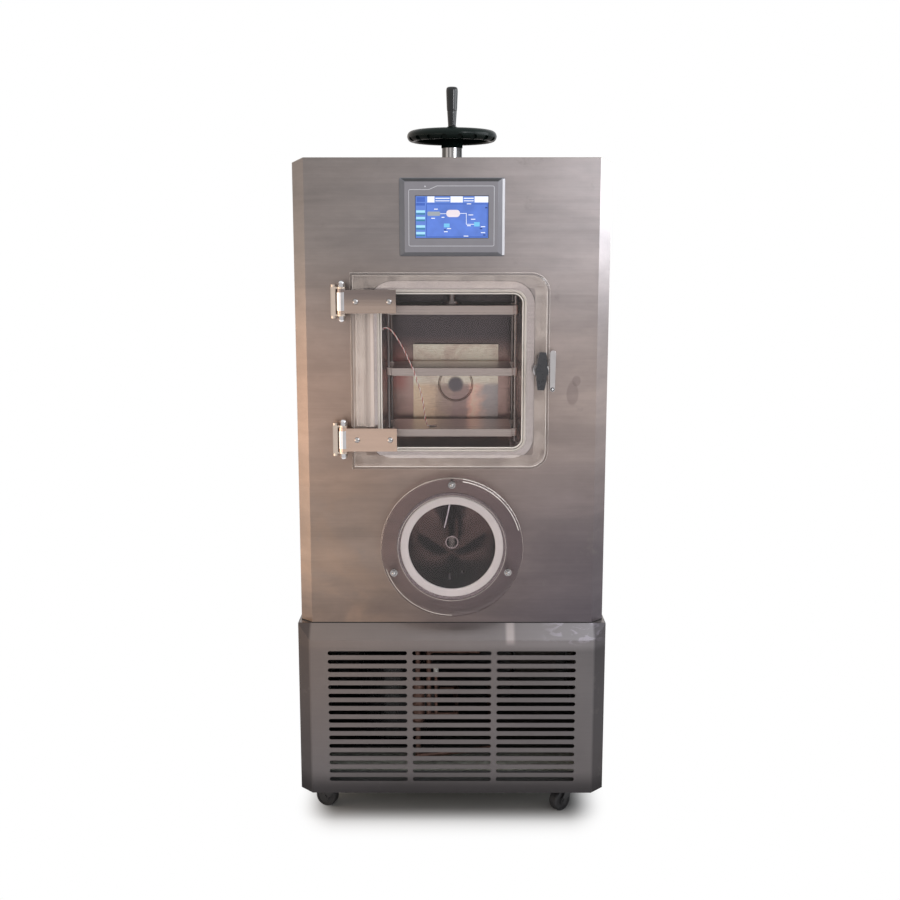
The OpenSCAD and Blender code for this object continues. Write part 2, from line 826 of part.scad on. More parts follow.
module chamber_vessel() {
    outer = [chamber_w + 2 * chamber_t, chamber_h + 2 * chamber_t];
    nipple = [4, 5];
    back = chamber_d + chamber_t;
    color([0.66, 0.62, 0.60]) at_front() difference() {
        union() {
            slab_y(-flange_proud, flange_t - flange_proud) translate([0, chamber_z])
                round_rect(chamber_w + 2 * flange_w, flange_h, flange_r);
            slab_y(0, back) translate([0, chamber_z]) round_rect(outer.x, outer.y, chamber_r + chamber_t);
        }
        slab_y(-flange_proud - over, chamber_d) translate([0, chamber_z])
            round_rect(chamber_w, chamber_h, chamber_r);
        translate([0, press_y, chamber_roof - over])
            cylinder(r = spindle_r + pin_play, h = chamber_t + 2 * over);
        translate([port_x, 0, port_z]) cylinder_y(duct_r, chamber_d - over, back + over);
    }
    // Welded nipple that the probe lead comes out of
    color([0.66, 0.62, 0.60]) at_front(probe_points[0].y)
        translate([-chamber_w / 2 - over, 0, probe_points[0].z])
        rotate([0, 90, 0]) tube(nipple[0], lead_r + fit_gap, nipple[1]);
}

module door_gasket() {
    ring = [chamber_w + 2, chamber_h + 2];
    color([0.88, 0.87, 0.82]) at_front() slab_y(-(door_y - door_t - gasket_gap), -flange_proud)
        translate([0, chamber_z]) difference() {
            round_rect(ring.x + 2 * gasket_w, ring.y + 2 * gasket_w, chamber_r + gasket_w);
            round_rect(ring.x, ring.y, chamber_r);
        }
}

module guide_rods() {
    color(chrome) for (sx = [-1, 1], sy = [-1, 1]) at_front()
        translate([sx * rod_x, press_y + sy * rod_dy, chamber_floor + rod_inset])
        cylinder(r = rod_r, h = chamber_h - 2 * rod_inset, $fn = 48);
}

// One shelf with four guide lugs that run on the rods
module shelf(z, half_w, t) {
    lug_r = rod_r + 2.5;
    at_front() difference() {
        translate([0, 0, z - t / 2]) union() {
            translate([-half_w, shelf_y, 0]) cube([2 * half_w, shelf_d, t]);
            for (sx = [-1, 1], sy = [-1, 1]) {
                translate([sx * rod_x, press_y + sy * rod_dy, 0]) cylinder(r = lug_r, h = t, $fn = 48);
                translate([sx > 0 ? half_w - over : -rod_x, press_y + sy * rod_dy - lug_r, 0])
                    cube([rod_x - half_w + over, 2 * lug_r, t]);
            }
        }
        for (sx = [-1, 1], sy = [-1, 1]) {
            translate([sx * rod_x, press_y + sy * rod_dy, z - t / 2 - over])
                cylinder(r = rod_r + lug_play, h = t + 2 * over, $fn = 48);
        }
    }
}

module shelf_lower() { color([0.72, 0.71, 0.70]) shelf(shelf_low_z, shelf_x, shelf_t); }
module shelf_middle() { color([0.72, 0.71, 0.70]) shelf(shelf_mid_z, shelf_x, shelf_t); }
module press_plate() { color([0.72, 0.71, 0.70]) shelf(press_z, shelf_x + 2, press_t); }

module press_spindle() {
    plate_top = press_z + press_t / 2;
    collar = [22, 6];
    color(chrome) at_front(press_y) translate([0, 0, plate_top]) {
        cylinder(r = spindle_r, h = hub_z + hub_h - 9 - plate_top);
        cylinder(r = collar[0], h = collar[1]);
    }
}

module press_column() {
    foot_z = chamber_roof + chamber_t;
    foot = [column_r + 14, 8];
    guide_h = 20;
    color(chrome) at_front(press_y) translate([0, 0, foot_z]) difference() {
        union() {
            cylinder(r = column_r, h = hub_z - 0.5 - foot_z);
            cylinder(r = foot[0], h = foot[1]);
        }
        translate([0, 0, -over]) cylinder(r = column_bore_r, h = hub_z - foot_z - guide_h);
        cylinder(r = spindle_r + pin_play, h = hub_z - foot_z);
    }
}

module vapour_baffle() {
    plate_y = chamber_d - baffle_gap;
    plate_t = 2;
    post = [62, 5];
    boss = [15, 4];
    ring = [39, 2.5];
    color([0.80, 0.72, 0.62]) at_front() translate([port_x, 0, port_z]) {
        slab_y(plate_y - plate_t, plate_y) square([baffle_w, baffle_h], center = true);
        for (sx = [-1, 1], sz = [-1, 1]) translate([sx * post[0], 0, sz * post[0]])
            cylinder_y(post[1], plate_y - over, chamber_d);
        cylinder_y(boss[0], plate_y - plate_t - boss[1], plate_y - over);
        translate([0, plate_y - plate_t, 0]) rotate([90, 0, 0]) rotate_extrude()
            translate([ring[0], 0]) circle(ring[1], $fn = 32);
    }
}

// Bent tube from the chamber's back wall down into the trap's top
module vapour_duct() {
    t = 2.5;
    back = chamber_d + chamber_t;
    low_z = trap_z + trap_r - 10;
    drop = port_z - duct_bend_r - low_z;
    color([0.60, 0.58, 0.56]) at_front() translate([port_x, back, 0]) difference() {
        union() {
            translate([0, 0, port_z]) cylinder_y(duct_r + t, 0, 2 * over);
            duct_elbow(duct_r + t);
            translate([0, duct_bend_r + 2 * over, low_z]) cylinder(r = duct_r + t, h = drop);
        }
        translate([0, 0, port_z]) cylinder_y(duct_r, -over, 2 * over);
        duct_elbow(duct_r);
        translate([0, duct_bend_r + 2 * over, low_z - over]) cylinder(r = duct_r, h = drop + over);
        translate([-port_x, -back, trap_z]) cylinder_y(trap_r + trap_t, 0, trap_d);
    }
}

module duct_elbow(r) {
    translate([0, 2 * over, port_z - duct_bend_r]) rotate([90, 0, 90])
        rotate_extrude(angle = 90) translate([duct_bend_r, 0]) circle(r);
}

// ---- cold trap ----

module window_bolt_circle() {
    for (p = window_bolts) translate(p) children();
}

// Raised face and bolting flange that the trap's tube is welded to
module trap_flange() {
    back = sheet_t + trap_flange_t;
    color([0.66, 0.62, 0.60]) at_front() translate([0, 0, trap_z]) difference() {
        union() {
            cylinder_y(trap_face_r, -trap_lip, sheet_t + over);
            cylinder_y(trap_flange_r, sheet_t, back);
        }
        cylinder_y(trap_r, -trap_lip - over, back + over);
        slab_y(-over, back + over) window_bolt_circle() circle(stud_r + press_gap, $fn = 32);
    }
}

module trap_vessel() {
    color([0.55, 0.55, 0.57]) at_front() translate([0, 0, trap_z]) difference() {
        cylinder_y(trap_r + trap_t, sheet_t + trap_flange_t, trap_d);
        cylinder_y(trap_r, sheet_t, trap_d - trap_t);
        cylinder_y(suction_r, trap_d - trap_t - over, trap_d + over);
        translate([port_x, chamber_d + chamber_t + duct_bend_r + 2 * over, 0])
            cylinder(r = duct_r, h = trap_r + 2 * trap_t + over);
    }
}

// The evaporator tube's centre line round the trap
function coil_point(i) =
    let (a = i * 360 / coil_steps)
    [coil_r * cos(a), coil_start + i * coil_pitch / coil_steps, coil_r * sin(a)];

function ring_points(centre, radial, side, r, sides) =
    [for (k = [0 : sides - 1])
        let (a = k * 360 / sides)
        centre + r * cos(a) * radial + r * sin(a) * side];

// A tube skinned over a list of rings that all have the same number of points
module skin_tube(rings, sides) {
    n = len(rings);
    polyhedron(
        points = [for (ring = rings) each ring],
        faces = concat(
            [[for (k = [0 : sides - 1]) k]],
            [[for (k = [sides - 1 : -1 : 0]) (n - 1) * sides + k]],
            [for (i = [0 : n - 2], k = [0 : sides - 1])
                let (a = i * sides + k, b = i * sides + (k + 1) % sides)
                [b, a, a + sides]],
            [for (i = [0 : n - 2], k = [0 : sides - 1])
                let (a = i * sides + k, b = i * sides + (k + 1) % sides)
                [b, a + sides, b + sides]]
        )
    );
}

module evaporator_coil() {
    rings = [for (i = [0 : coil_turns * coil_steps])
        let (a = i * 360 / coil_steps)
        ring_points(coil_point(i), [cos(a), 0, sin(a)], [0, 1, 0], coil_tube_r, coil_sides)];
    color(copper) at_front() translate([0, 0, trap_z]) skin_tube(rings, coil_sides);
}

module trap_insulation() {
    front = sheet_t + trap_flange_t + fit_gap;
    end_y = chamber_d + chamber_t + 6;
    color([0.12, 0.12, 0.12]) at_front() translate([0, 0, trap_z]) difference() {
        cylinder_y(coil_r + coil_tube_r + foam_t, front, end_y);
        cylinder_y(coil_r + coil_tube_r + fit_gap, front - over, end_y + over);
    }
}

module trap_seal_ring() {
    color([0.94, 0.94, 0.92]) at_front() translate([0, 0, trap_z]) difference() {
        cylinder_y(seal_r, -window_back, -trap_lip);
        cylinder_y(trap_r, -window_back - over, over - trap_lip);
    }
}

module trap_window() {
    bevel = 4;
    front = window_back + window_t;
    color(clear) at_front() translate([0, 0, trap_z]) difference() {
        rotate([90, 0, 0]) rotate_extrude() polygon([
            [0, window_back], [window_r, window_back], [window_r, front - bevel],
            [window_r - bevel, front], [0, front],
        ]);
        slab_y(-front - over, over - window_back) window_bolt_circle() circle(stud_r + stud_play, $fn = 32);
    }
}

module trap_window_bolts() {
    face = window_back + window_t;
    washer = [8, 1.5];
    nut = [6.5, 5.5];
    cap_r = 5;
    nut_face = face + washer[1] + nut[1];
    color(chrome) at_front() translate([0, 0, trap_z]) {
        slab_y(over - nut_face, sheet_t + trap_flange_t) window_bolt_circle() circle(stud_r, $fn = 32);
        slab_y(-face - washer[1], -face) window_bolt_circle() circle(washer[0], $fn = 48);
        slab_y(-nut_face, -face - washer[1]) window_bolt_circle() circle(nut[0], $fn = 6);
        for (p = window_bolts) translate([p.x, over - nut_face, p.y]) intersection() {
            sphere(cap_r, $fn = 48);
            translate([0, -cap_r, 0]) cube(2 * cap_r, center = true);
        }
    }
}

module suction_pipe() {
    end = cabinet_d + port_reach;
    wall = 2.5;
    flange_t = 3;
    cone = 0.27 * (port_flange_r - suction_r);
    color([0.66, 0.66, 0.67]) at_front() translate([0, 0, trap_z]) difference() {
        union() {
            cylinder_y(suction_r, suction_y, end - flange_t);
            translate([0, end, 0]) rotate([90, 0, 0]) rotate_extrude() polygon([
                [port_recess_r - wall, 0], [port_flange_r, 0], [port_flange_r, flange_t],
                [suction_r, flange_t + 1 + cone], [port_recess_r - wall, 2 * flange_t],
            ]);
        }
        cylinder_y(suction_r - wall, suction_y - over, end + over);
        cylinder_y(port_recess_r, end - 3, end + over);
    }
}

// ---- door ----

module door_outline() {
    w = door_left + door_right;
    h = door_top_z - door_low_z;
    translate([-door_left, door_low_z]) {
        square([w - door_r, h]);
        translate([w - door_r - over, door_r]) square([door_r + over, h - 2 * door_r]);
        for (z = [door_r, h - door_r]) translate([w - door_r, z]) circle(door_r);
    }
}

module strap_screw_places() {
    for (z = hinge_z, x = strap_screw_x) translate([-x, z]) children();
}

module door_plate() {
    back = door_y - door_t;
    color(clear) at_front() difference() {
        slab_y(-door_y, -back) door_outline();
        slab_y(-door_y - over, -back + over) {
            strap_screw_places() circle(screw_r + press_gap, $fn = 32);
            translate([latch_x, latch_z]) circle(latch_pin_r + pin_play);
        }
    }
}

module hinge_straps() {
    color([0.78, 0.76, 0.73]) for (z = hinge_z) at_front() difference() {
        union() {
            translate([-hinge_x + 3, -door_y - strap_t, z - strap_h / 2])
                cube([hinge_x - 3 - strap_end, strap_t, strap_h]);
            translate([-hinge_x, -hinge_y, z - barrel_h / 2]) cylinder(r = barrel_r, h = barrel_h);
        }
        translate([-hinge_x, -hinge_y, z - barrel_h / 2 - over])
            cylinder(r = hinge_pin_r + pin_play, h = barrel_h + 2 * over);
        slab_y(-door_y - strap_t - over, over - door_y)
            strap_screw_places() circle(screw_r + press_gap, $fn = 32);
    }
}

module door_screws() {
    face = door_y + strap_t;
    back = door_y - door_t;
    nut = [7, 4];
    head_r = 7;
    color(chrome) at_front() {
        slab_y(-face - over, 5 - back) strap_screw_places() circle(screw_r, $fn = 32);
        slab_y(-back, nut[1] - back) strap_screw_places() circle(nut[0], $fn = 6);
        for (z = hinge_z, x = strap_screw_x) translate([-x, -face, z]) intersection() {
            translate([0, 2, 0]) sphere(head_r, $fn = 48);
            translate([0, -head_r, 0]) cube(2 * head_r, center = true);
        }
    }
}

module hinge_brackets() {
    bar_x = hinge_x + 12.5;
    bar_front = hinge_y + 2;
    ear_d = 10;
    boss = [5.5, 5];
    color([0.74, 0.72, 0.69]) for (z = hinge_z) at_front() translate([0, 0, z]) difference() {
        union() {
            translate([-bar_x - bracket_w, -bar_front, -ear_z]) cube([bracket_w, bar_front, 2 * ear_z]);
            for (s = [0, 1]) mirror([0, 0, s]) translate([0, 0, ear_z]) {
                translate([-bar_x - bracket_w, -bar_front, 0])
                    cube([bar_x + bracket_w - hinge_x, ear_d, ear_t]);
                translate([-hinge_x, -hinge_y, 0]) cylinder(r = barrel_r - 0.8, h = ear_t);
                translate([-bar_x - bracket_w / 2, 6 - bar_front, ear_t])
                    cylinder(r = boss[0], h = boss[1], $fn = 48);
            }
        }
        translate([-hinge_x, -hinge_y, -ear_z - ear_t - over])
            cylinder(r = hinge_pin_r + press_gap, h = 2 * (ear_z + ear_t + over));
    }
}

module hinge_pins() {
    ear_top = ear_z + ear_t;
    nut = [8.5, 8];
    cap_r = 7;
    color(chrome) for (z = hinge_z) at_front() translate([-hinge_x, -hinge_y, z]) {
        translate([0, 0, -ear_top]) cylinder(r = hinge_pin_r, h = 2 * ear_top);
        for (s = [0, 1]) mirror([0, 0, s]) translate([0, 0, ear_top]) {
            cylinder(r = nut[0], h = nut[1], $fn = 6);
            translate([0, 0, nut[1] - over]) intersection() {
                sphere(cap_r, $fn = 48);
                translate([0, 0, cap_r]) cube(2 * cap_r, center = true);
            }
        }
    }
}

// ---- latch ----

module latch_rose() {
    color(chrome) at_front() translate([latch_x, 0, latch_z]) difference() {
        cylinder_y(rose_r, -door_y - rose_t, -door_y);
        cylinder_y(latch_pin_r + pin_play, -door_y - rose_t - over, -door_y + over);
    }
}

module latch_knob() {
    half = knob_len / 2;
    end_w = knob_end_w / 2;
    waist_w = end_w + 4;
    waist = half * 0.45;
    back = door_y + rose_t;
    color(black) at_front() translate([latch_x, 0, latch_z]) rotate([0, knob_lean, 0]) difference() {
        union() {
            slab_y(-front_reach, -back - knob_gap) {
                polygon([
                    [-end_w, -half], [end_w, -half], [waist_w, -waist], [waist_w, waist],
                    [end_w, half], [-end_w, half], [-waist_w, waist], [-waist_w, -waist],
                ]);
                circle(knob_hub_r);
            }
            cylinder_y(knob_hub_r, -back - knob_gap - over, -back - 0.5);
        }
        cylinder_y(latch_pin_r + press_gap, 8 - front_reach, -door_y);
    }
}

module latch_pawl() {
    back = door_y - door_t - 2;
    hub_r = 12;
    tip_r = 8;
    color([0.72, 0.72, 0.73]) at_front() translate([latch_x, 0, latch_z]) {
        cylinder_y(latch_pin_r, 8.5 - front_reach, -back);
        slab_y(-back, pawl_t - back) {
            circle(hub_r);
            translate([0, pawl_reach - tip_r]) circle(tip_r);
            translate([-tip_r, 0]) square([2 * tip_r, pawl_reach - tip_r]);
        }
    }
}

module door_keeper() {
    half = keeper_len / 2 - keeper_w / 2;
    bar_back = 12;
    bar_t = 8;
    post_r = 4.5;
    head = [4, 2];
    color(chrome) at_front() translate([keeper_x, 0, latch_z - keeper_drop]) {
        slab_y(-bar_back - bar_t, -bar_back) rotate(90) stadium(keeper_len, keeper_w);
        for (s = [-1, 1]) translate([0, 0, s * half]) {
            cylinder_y(post_r, -bar_back - over, 0);
            cylinder_y(head[0], -bar_back - bar_t - head[1], over - bar_back - bar_t);
        }
    }
}

// ---- handwheel ----

module handwheel() {
    rim_r = handwheel_d / 2 - rim_w;
    web_t = 7;
    blind_h = hub_h - 5;
    boss_r = 11;
    groove = [7, 26];
    color(black) at_front(press_y) difference() {
        union() {
            translate([0, 0, handwheel_z]) rotate_extrude() {
                translate([rim_r, 0]) circle(rim_w);
                translate([hub_r - 4, -web_t]) square([rim_r - hub_r, web_t]);
            }
            translate([0, 0, hub_z]) cylinder(r = hub_r, h = hub_h);
            translate([0, -handle_dy, handwheel_z]) cylinder(r = boss_r, h = rim_h + 1);
        }
        translate([0, 0, hub_z - over]) cylinder(r = spindle_r + pin_play, h = blind_h + over);
        translate([0, -handle_dy, handwheel_z - 2])
            cylinder(r = handle_bolt_r + press_gap, h = rim_h + 4, $fn = 48);
        for (i = [0 : groove_count - 1]) {
            rotate(i * 360 / groove_count) translate([handwheel_d / 2 + 2, 0, handwheel_z - rim_h])
                rotate([0, -60, 0]) translate([0, 0, -over])
                cylinder(r = groove[0], h = groove[1], center = true, $fn = 32);
        }
    }
}

module handle_bolt() {
    shank = rim_h + 2 + handle_h - 7;
    head = [7, 4];
    color(chrome) at_front(press_y - handle_dy) translate([0, 0, handwheel_z - 1]) {
        cylinder(r = handle_bolt_r, h = shank, $fn = 48);
        translate([0, 0, shank - 2]) cylinder(r = head[0], h = head[1], $fn = 48);
    }
}

module handle_grip() {
    foot = handwheel_z + rim_h + 1.5;
    top = handle_h - 0.5;
    round_r = 5;
    bolt_bore = handle_bolt_r + pin_play;
    head_bore = 7.4;
    head_z = handle_h - 11;
    color(black) at_front(press_y - handle_dy) translate([0, 0, foot]) rotate_extrude() difference() {
        union() {
            polygon([
                [0, 0], [handle_foot_r + 1, 0], [handle_foot_r + 1, 4], [handle_foot_r - 1, 8],
                [handle_foot_r + 1, 0.32 * handle_h], [handle_top_r - 0.5, 0.68 * handle_h],
                [handle_top_r, 0.83 * handle_h], [handle_top_r, top - round_r], [0, top - round_r],
            ]);
            translate([0, top - round_r]) square([handle_top_r - round_r, round_r]);
            translate([handle_top_r - round_r, top - round_r]) circle(round_r, $fn = 48);
        }
        square([bolt_bore, handle_h]);
        translate([0, head_z]) square([head_bore, handle_h]);
    }
}

// ---- machine bay ----

module compressor() {
    dome = 30;
    foot = [92, 66];
    plate = [210, 160, 5];
    box = [36, 30, 60];
    color([0.10, 0.10, 0.11]) at_front() translate([-compressor_x, compressor_y, 0]) {
        translate([0, 0, shell_z]) rotate_extrude() {
            translate([0, dome]) square([compressor_r, compressor_h - 2 * dome]);
            intersection() {
                translate([0, compressor_h / 2]) circle(compressor_h / 2);
                square([compressor_r - 5, compressor_h]);
            }
        }
        translate([-plate.x / 2, -plate.y / 2, shell_z - 2]) cube(plate);
        for (sx = [-1, 1], sy = [-1, 1]) translate([sx * foot.x, sy * foot.y, bay_z])
            cylinder(r = 11, h = 20, $fn = 48);
        translate([0, 0, stub_z])
            bar_between([0, 0, 0], [compressor_x + stub_x - fit_gap, 0, 0], pipe_r + 1);
        translate([compressor_r - box.x + 4, -2 * box.y, shell_z + 70]) cube(box);
    }
}

module condenser() {
    rows = 6;
    row_step = condenser_h / rows;
    cheek = [6, condenser_d + 4, condenser_h + 8];
    color([0.68, 0.69, 0.70]) at_front() translate([0, condenser_y, condenser_z]) {
        translate([cheek.x - condenser_w / 2, 0, 0])
            cube([condenser_w - 2 * cheek.x, condenser_d, condenser_h]);
        for (s = [-1, 1]) translate([s * (condenser_w - cheek.x) / 2 - cheek.x / 2, -2, -4]) cube(cheek);
        for (i = [0 : rows - 1]) {
            translate([condenser_w / 2, condenser_d / 2, (i + 0.5) * row_step])
                rotate([90, 0, 0]) rotate([0, 0, -90]) rotate_extrude(angle = 180)
                translate([row_step / 4, 0]) circle(pipe_r - 1.5, $fn = 32);
        }
    }
}

module fan_shroud() {
    side = 2 * fan_r + 20;
    depth = 40;
    plate_t = 2;
    ring_t = 3;
    arm = [2 * (fan_r + ring_t / 2), 4, 10];
    motor = [30, 28, 50];
    color([0.13, 0.13, 0.14]) at_front() translate([0, fan_y, fan_z]) {
        difference() {
            union() {
                slab_y(0, plate_t) square(side, center = true);
                cylinder_y(fan_r + ring_t, over, depth);
            }
            cylinder_y(fan_r, -over, depth + over);
        }
        for (a = [45, 135]) rotate([0, a, 0])
            translate([-arm.x / 2, depth - arm.y - 2, -arm.z / 2]) cube(arm);
        cylinder_y(motor[0], motor[1], motor[2]);
        cylinder_y(fan_axle_r, 3, motor[1] + over);
    }
}

module fan_rotor() {
    hub = [28, 5, 26];
    blade_t = 2.4;
    pitch = 32;
    color([0.08, 0.08, 0.09]) at_front() translate([0, fan_y, fan_z]) difference() {
        union() {
            cylinder_y(hub[0], hub[1], hub[2]);
            for (i = [0 : fan_blades - 1]) rotate([0, i * 360 / fan_blades, 0]) intersection() {
                translate([0, (hub[1] + hub[2]) / 2, hub[0] - 3]) rotate(pitch)
                    translate([3 - hub[0], -blade_t / 2, 0]) cube([2 * hub[0] - 6, blade_t, fan_r]);
                cylinder_y(fan_r - 4, 3, hub[2]);
            }
        }
        cylinder_y(fan_axle_r + pin_play, 0, hub[2] + over);
    }
}

// Copper pipework: discharge with its capped service valve, liquid line with its drier, and suction
module refrigerant_pipes() {
    top_z = seam_z - 45;
    left_x = -compressor_x + 60;
    mid_x = -valve_x - 17;
    loop_z = top_z - 50;
    liquid_z = bay_z + 33;
    top_end = seam_z + 40;
    crest = shell_z + compressor_h;
    condenser_top = condenser_z + condenser_h - 11;
    color(copper) at_front() {
        pipe_run([
            [stub_x, compressor_y, stub_z], [10, compressor_y, stub_z], [10, pipe_y, stub_z],
            [mid_x, pipe_y, stub_z], [mid_x, pipe_y, loop_z], [deck_hole.x, pipe_y, loop_z],
            [deck_hole.x, condenser_y - 14, loop_z], [deck_hole.x, condenser_y - 14, condenser_top],
            [deck_hole.x, condenser_y - fit_gap, condenser_top],
        ], pipe_r);
        pipe_run([[-valve_x, pipe_y, stub_z], [-valve_x, pipe_y, valve_z + over]], pipe_r - 2);
        translate([-valve_x, pipe_y, valve_z]) cylinder(r = pipe_r - 1, h = 18, $fn = 48);
        pipe_run([
            [100, condenser_y - fit_gap, liquid_z], [100, pipe_y + 46, liquid_z],
            [left_x, pipe_y, liquid_z],
            [left_x, pipe_y, top_z], [40, pipe_y, top_z], [deck_hole.x - 10, deck_hole.y, top_z],
            [deck_hole.x - 10, deck_hole.y, top_end],
        ], pipe_r);
        translate([left_x, pipe_y, stub_z - 30]) rotate_extrude() polygon([
            [0, 0], [pipe_r, 0], [16, 20], [16, 100], [pipe_r, 120], [0, 120],
        ]);
        pipe_run([
            [-compressor_x, compressor_y, crest + fit_gap], [-compressor_x, compressor_y, top_z - 26],
            [20, compressor_y + 50, top_z - 26], [deck_hole.x + 12, deck_hole.y, top_z - 26],
            [deck_hole.x + 12, deck_hole.y, top_end],
        ], pipe_r + 2);
    }
}

// ---- rear services ----

module mains_inlet() {
    body = [inlet_r + 5, 14, 24];
    nut_r = 16;
    color([0.10, 0.10, 0.10]) at_front() translate([inlet_x, 0, inlet_z]) difference() {
        union() {
            cylinder_y(body[0], cabinet_d - body[1], cabinet_d + body[2]);
            slab_y(cabinet_d, cabinet_d + 6) circle(nut_r, $fn = 6);
            slab_y(cabinet_d - 8, cabinet_d - sheet_t) circle(nut_r, $fn = 6);
        }
        cylinder_y(inlet_r, cabinet_d - body[1] - over, cabinet_d + body[2] + over);
    }
}

// ---- probe lead ----

// Rings square to the lead's way at each of its points
function lead_ring(i) =
    let (
        p = probe_points,
        last = len(p) - 1,
        along = p[min(i + 1, last)] - p[max(i - 1, 0)],
        dir = along / norm(along),
        side = cross(dir, [0, 1, 0.3]) / norm(cross(dir, [0, 1, 0.3])),
        up = cross(side, dir)
    )
    ring_points(p[i], side, up, lead_r, lead_sides);

module probe_lead() {
    color([0.85, 0.55, 0.52]) at_front()
        skin_tube([for (i = [0 : len(probe_points) - 1]) lead_ring(i)], lead_sides);
}

module probe_tip() {
    last = probe_points[len(probe_points) - 1];
    along = [0.8, 0.6, 0];
    tip = [1.5, 20, 2.4];
    color([0.90, 0.90, 0.90]) at_front()
        bar_between(last + tip[0] * along, last + tip[1] * along, tip[2]);
}

// ---- assembly ----

base_frame();
base_front_panel();
base_side_panels();
base_rear_panel();
floor_plate();
deck_plate();
cabinet_frame();
cabinet_front_panel();
cabinet_side_panels();
cabinet_rear_panel();
top_cover();
caster_plates();
touch_panel_bezel();
touch_panel_screen();
chamber_vessel();
door_gasket();
guide_rods();
shelf_lower();
vapour_baffle();
vapour_duct();
trap_vessel();
trap_flange();
evaporator_coil();
trap_insulation();
trap_seal_ring();
trap_window();
trap_window_bolts();
suction_pipe();
hinge_brackets();
hinge_pins();
door_keeper();
press_column();
compressor();
condenser();
fan_shroud();
refrigerant_pipes();
mains_inlet();
probe_lead();
probe_tip();
door_plate();
hinge_straps();
door_screws();
latch_rose();
latch_knob();
latch_pawl();
press_plate();
press_spindle();
shelf_middle();
handwheel();
handle_bolt();
handle_grip();
fan_rotor();
caster_fork_fl();
caster_fork_fr();
caster_fork_rl();
caster_fork_rr();
caster_wheel_fl();
caster_wheel_fr();
caster_wheel_rl();
caster_wheel_rr();
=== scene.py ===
import math

import bmesh
import bpy
import numpy as np
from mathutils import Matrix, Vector


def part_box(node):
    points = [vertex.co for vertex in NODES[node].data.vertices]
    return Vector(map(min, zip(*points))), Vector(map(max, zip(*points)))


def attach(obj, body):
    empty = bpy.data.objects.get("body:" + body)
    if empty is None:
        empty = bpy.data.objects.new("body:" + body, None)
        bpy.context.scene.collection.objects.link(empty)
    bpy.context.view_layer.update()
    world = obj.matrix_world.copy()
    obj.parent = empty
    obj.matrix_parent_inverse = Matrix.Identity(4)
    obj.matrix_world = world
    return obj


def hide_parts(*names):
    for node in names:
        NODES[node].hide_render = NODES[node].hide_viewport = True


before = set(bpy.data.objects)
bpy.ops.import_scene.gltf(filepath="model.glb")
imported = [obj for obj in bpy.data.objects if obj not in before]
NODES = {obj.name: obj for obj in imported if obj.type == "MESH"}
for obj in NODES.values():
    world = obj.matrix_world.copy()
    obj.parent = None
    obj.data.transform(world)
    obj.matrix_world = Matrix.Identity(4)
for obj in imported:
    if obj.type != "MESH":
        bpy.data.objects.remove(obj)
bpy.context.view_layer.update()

MM = 0.001
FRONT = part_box("cabinet_front_panel")[0].y


def at(x, y, z):
    """A point given in millimetres, with y counted back from the cabinet's front face."""
    return Vector((x * MM, FRONT + y * MM, z * MM))


def centre_of(node):
    low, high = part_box(node)
    return (low + high) / 2


def link(obj):
    bpy.context.scene.collection.objects.link(obj)
    return obj


# ---- camera ----

bpy.context.scene.view_settings.view_transform = "Standard"


def make_camera():
    data = bpy.data.cameras.new("camera")
    camera = link(bpy.data.objects.new("camera", data))
    data.sensor_width = 36
    data.lens = 46.72
    data.clip_end = 100
    camera.location = at(0, -2534, 1292.5)
    camera.rotation_euler = (math.radians(80.32), 0, math.radians(0.0932))
    bpy.context.scene.camera = camera


make_camera()

# ---- node trees ----


class Tree:
    """A node tree with short ways to build on it."""

    def __init__(self, tree):
        self.tree = tree

    def feed(self, socket, value):
        if isinstance(value, bpy.types.NodeSocket):
            self.tree.links.new(value, socket)
        elif socket.type == "RGBA":
            socket.default_value = (*value, 1)
        else:
            socket.default_value = value

    def node(self, kind, inputs=None, **settings):
        """A new node, with values or sockets for its inputs by name or number."""
        made = self.tree.nodes.new("ShaderNode" + kind)
        for key, value in settings.items():
            setattr(made, key, value)
        for key, value in (inputs or {}).items():
            self.feed(made.inputs[key], value)
        return made

    def math(self, operation, a, b=0.0):
        return self.node("Math", {0: a, 1: b}, operation=operation).outputs[0]

    def times(self, a, b):
        return self.math("MULTIPLY", a, b)

    def most(self, *values):
        """The largest of the values."""
        top = values[0]
        for value in values[1:]:
            top = self.math("MAXIMUM", top, value)
        return top

    def split(self, vector, name):
        return self.node("SeparateXYZ", {0: vector}).outputs[name]

    def rays(self):
        return self.node("LightPath").outputs

    def span(self, value, low, high, to_low=0.0, to_high=1.0, kind="LINEAR"):
        """Runs from to_low to to_high as the value goes from low to high."""
        inputs = {"Value": value, "From Min": low, "From Max": high, "To Min": to_low,
                  "To Max": to_high}
        return self.node("MapRange", inputs, interpolation_type=kind).outputs[0]

    def ease(self, *ends):
        """A span with a soft start and end."""
        return self.span(*ends, kind="SMOOTHSTEP")

    def mix(self, fac, a, b, blend="MIX"):
        inputs = {0: fac, 6: a, 7: b}
        return self.node("Mix", inputs, data_type="RGBA", blend_type=blend).outputs[2]

    def mix_shaders(self, share, first, second, surface):
        """Shows the second shader in place of the first by a share from 0 to 1."""
        mixer = self.node("MixShader", {0: share, 1: first, 2: second})
        self.feed(surface, mixer.outputs[0])


MATERIALS = {}


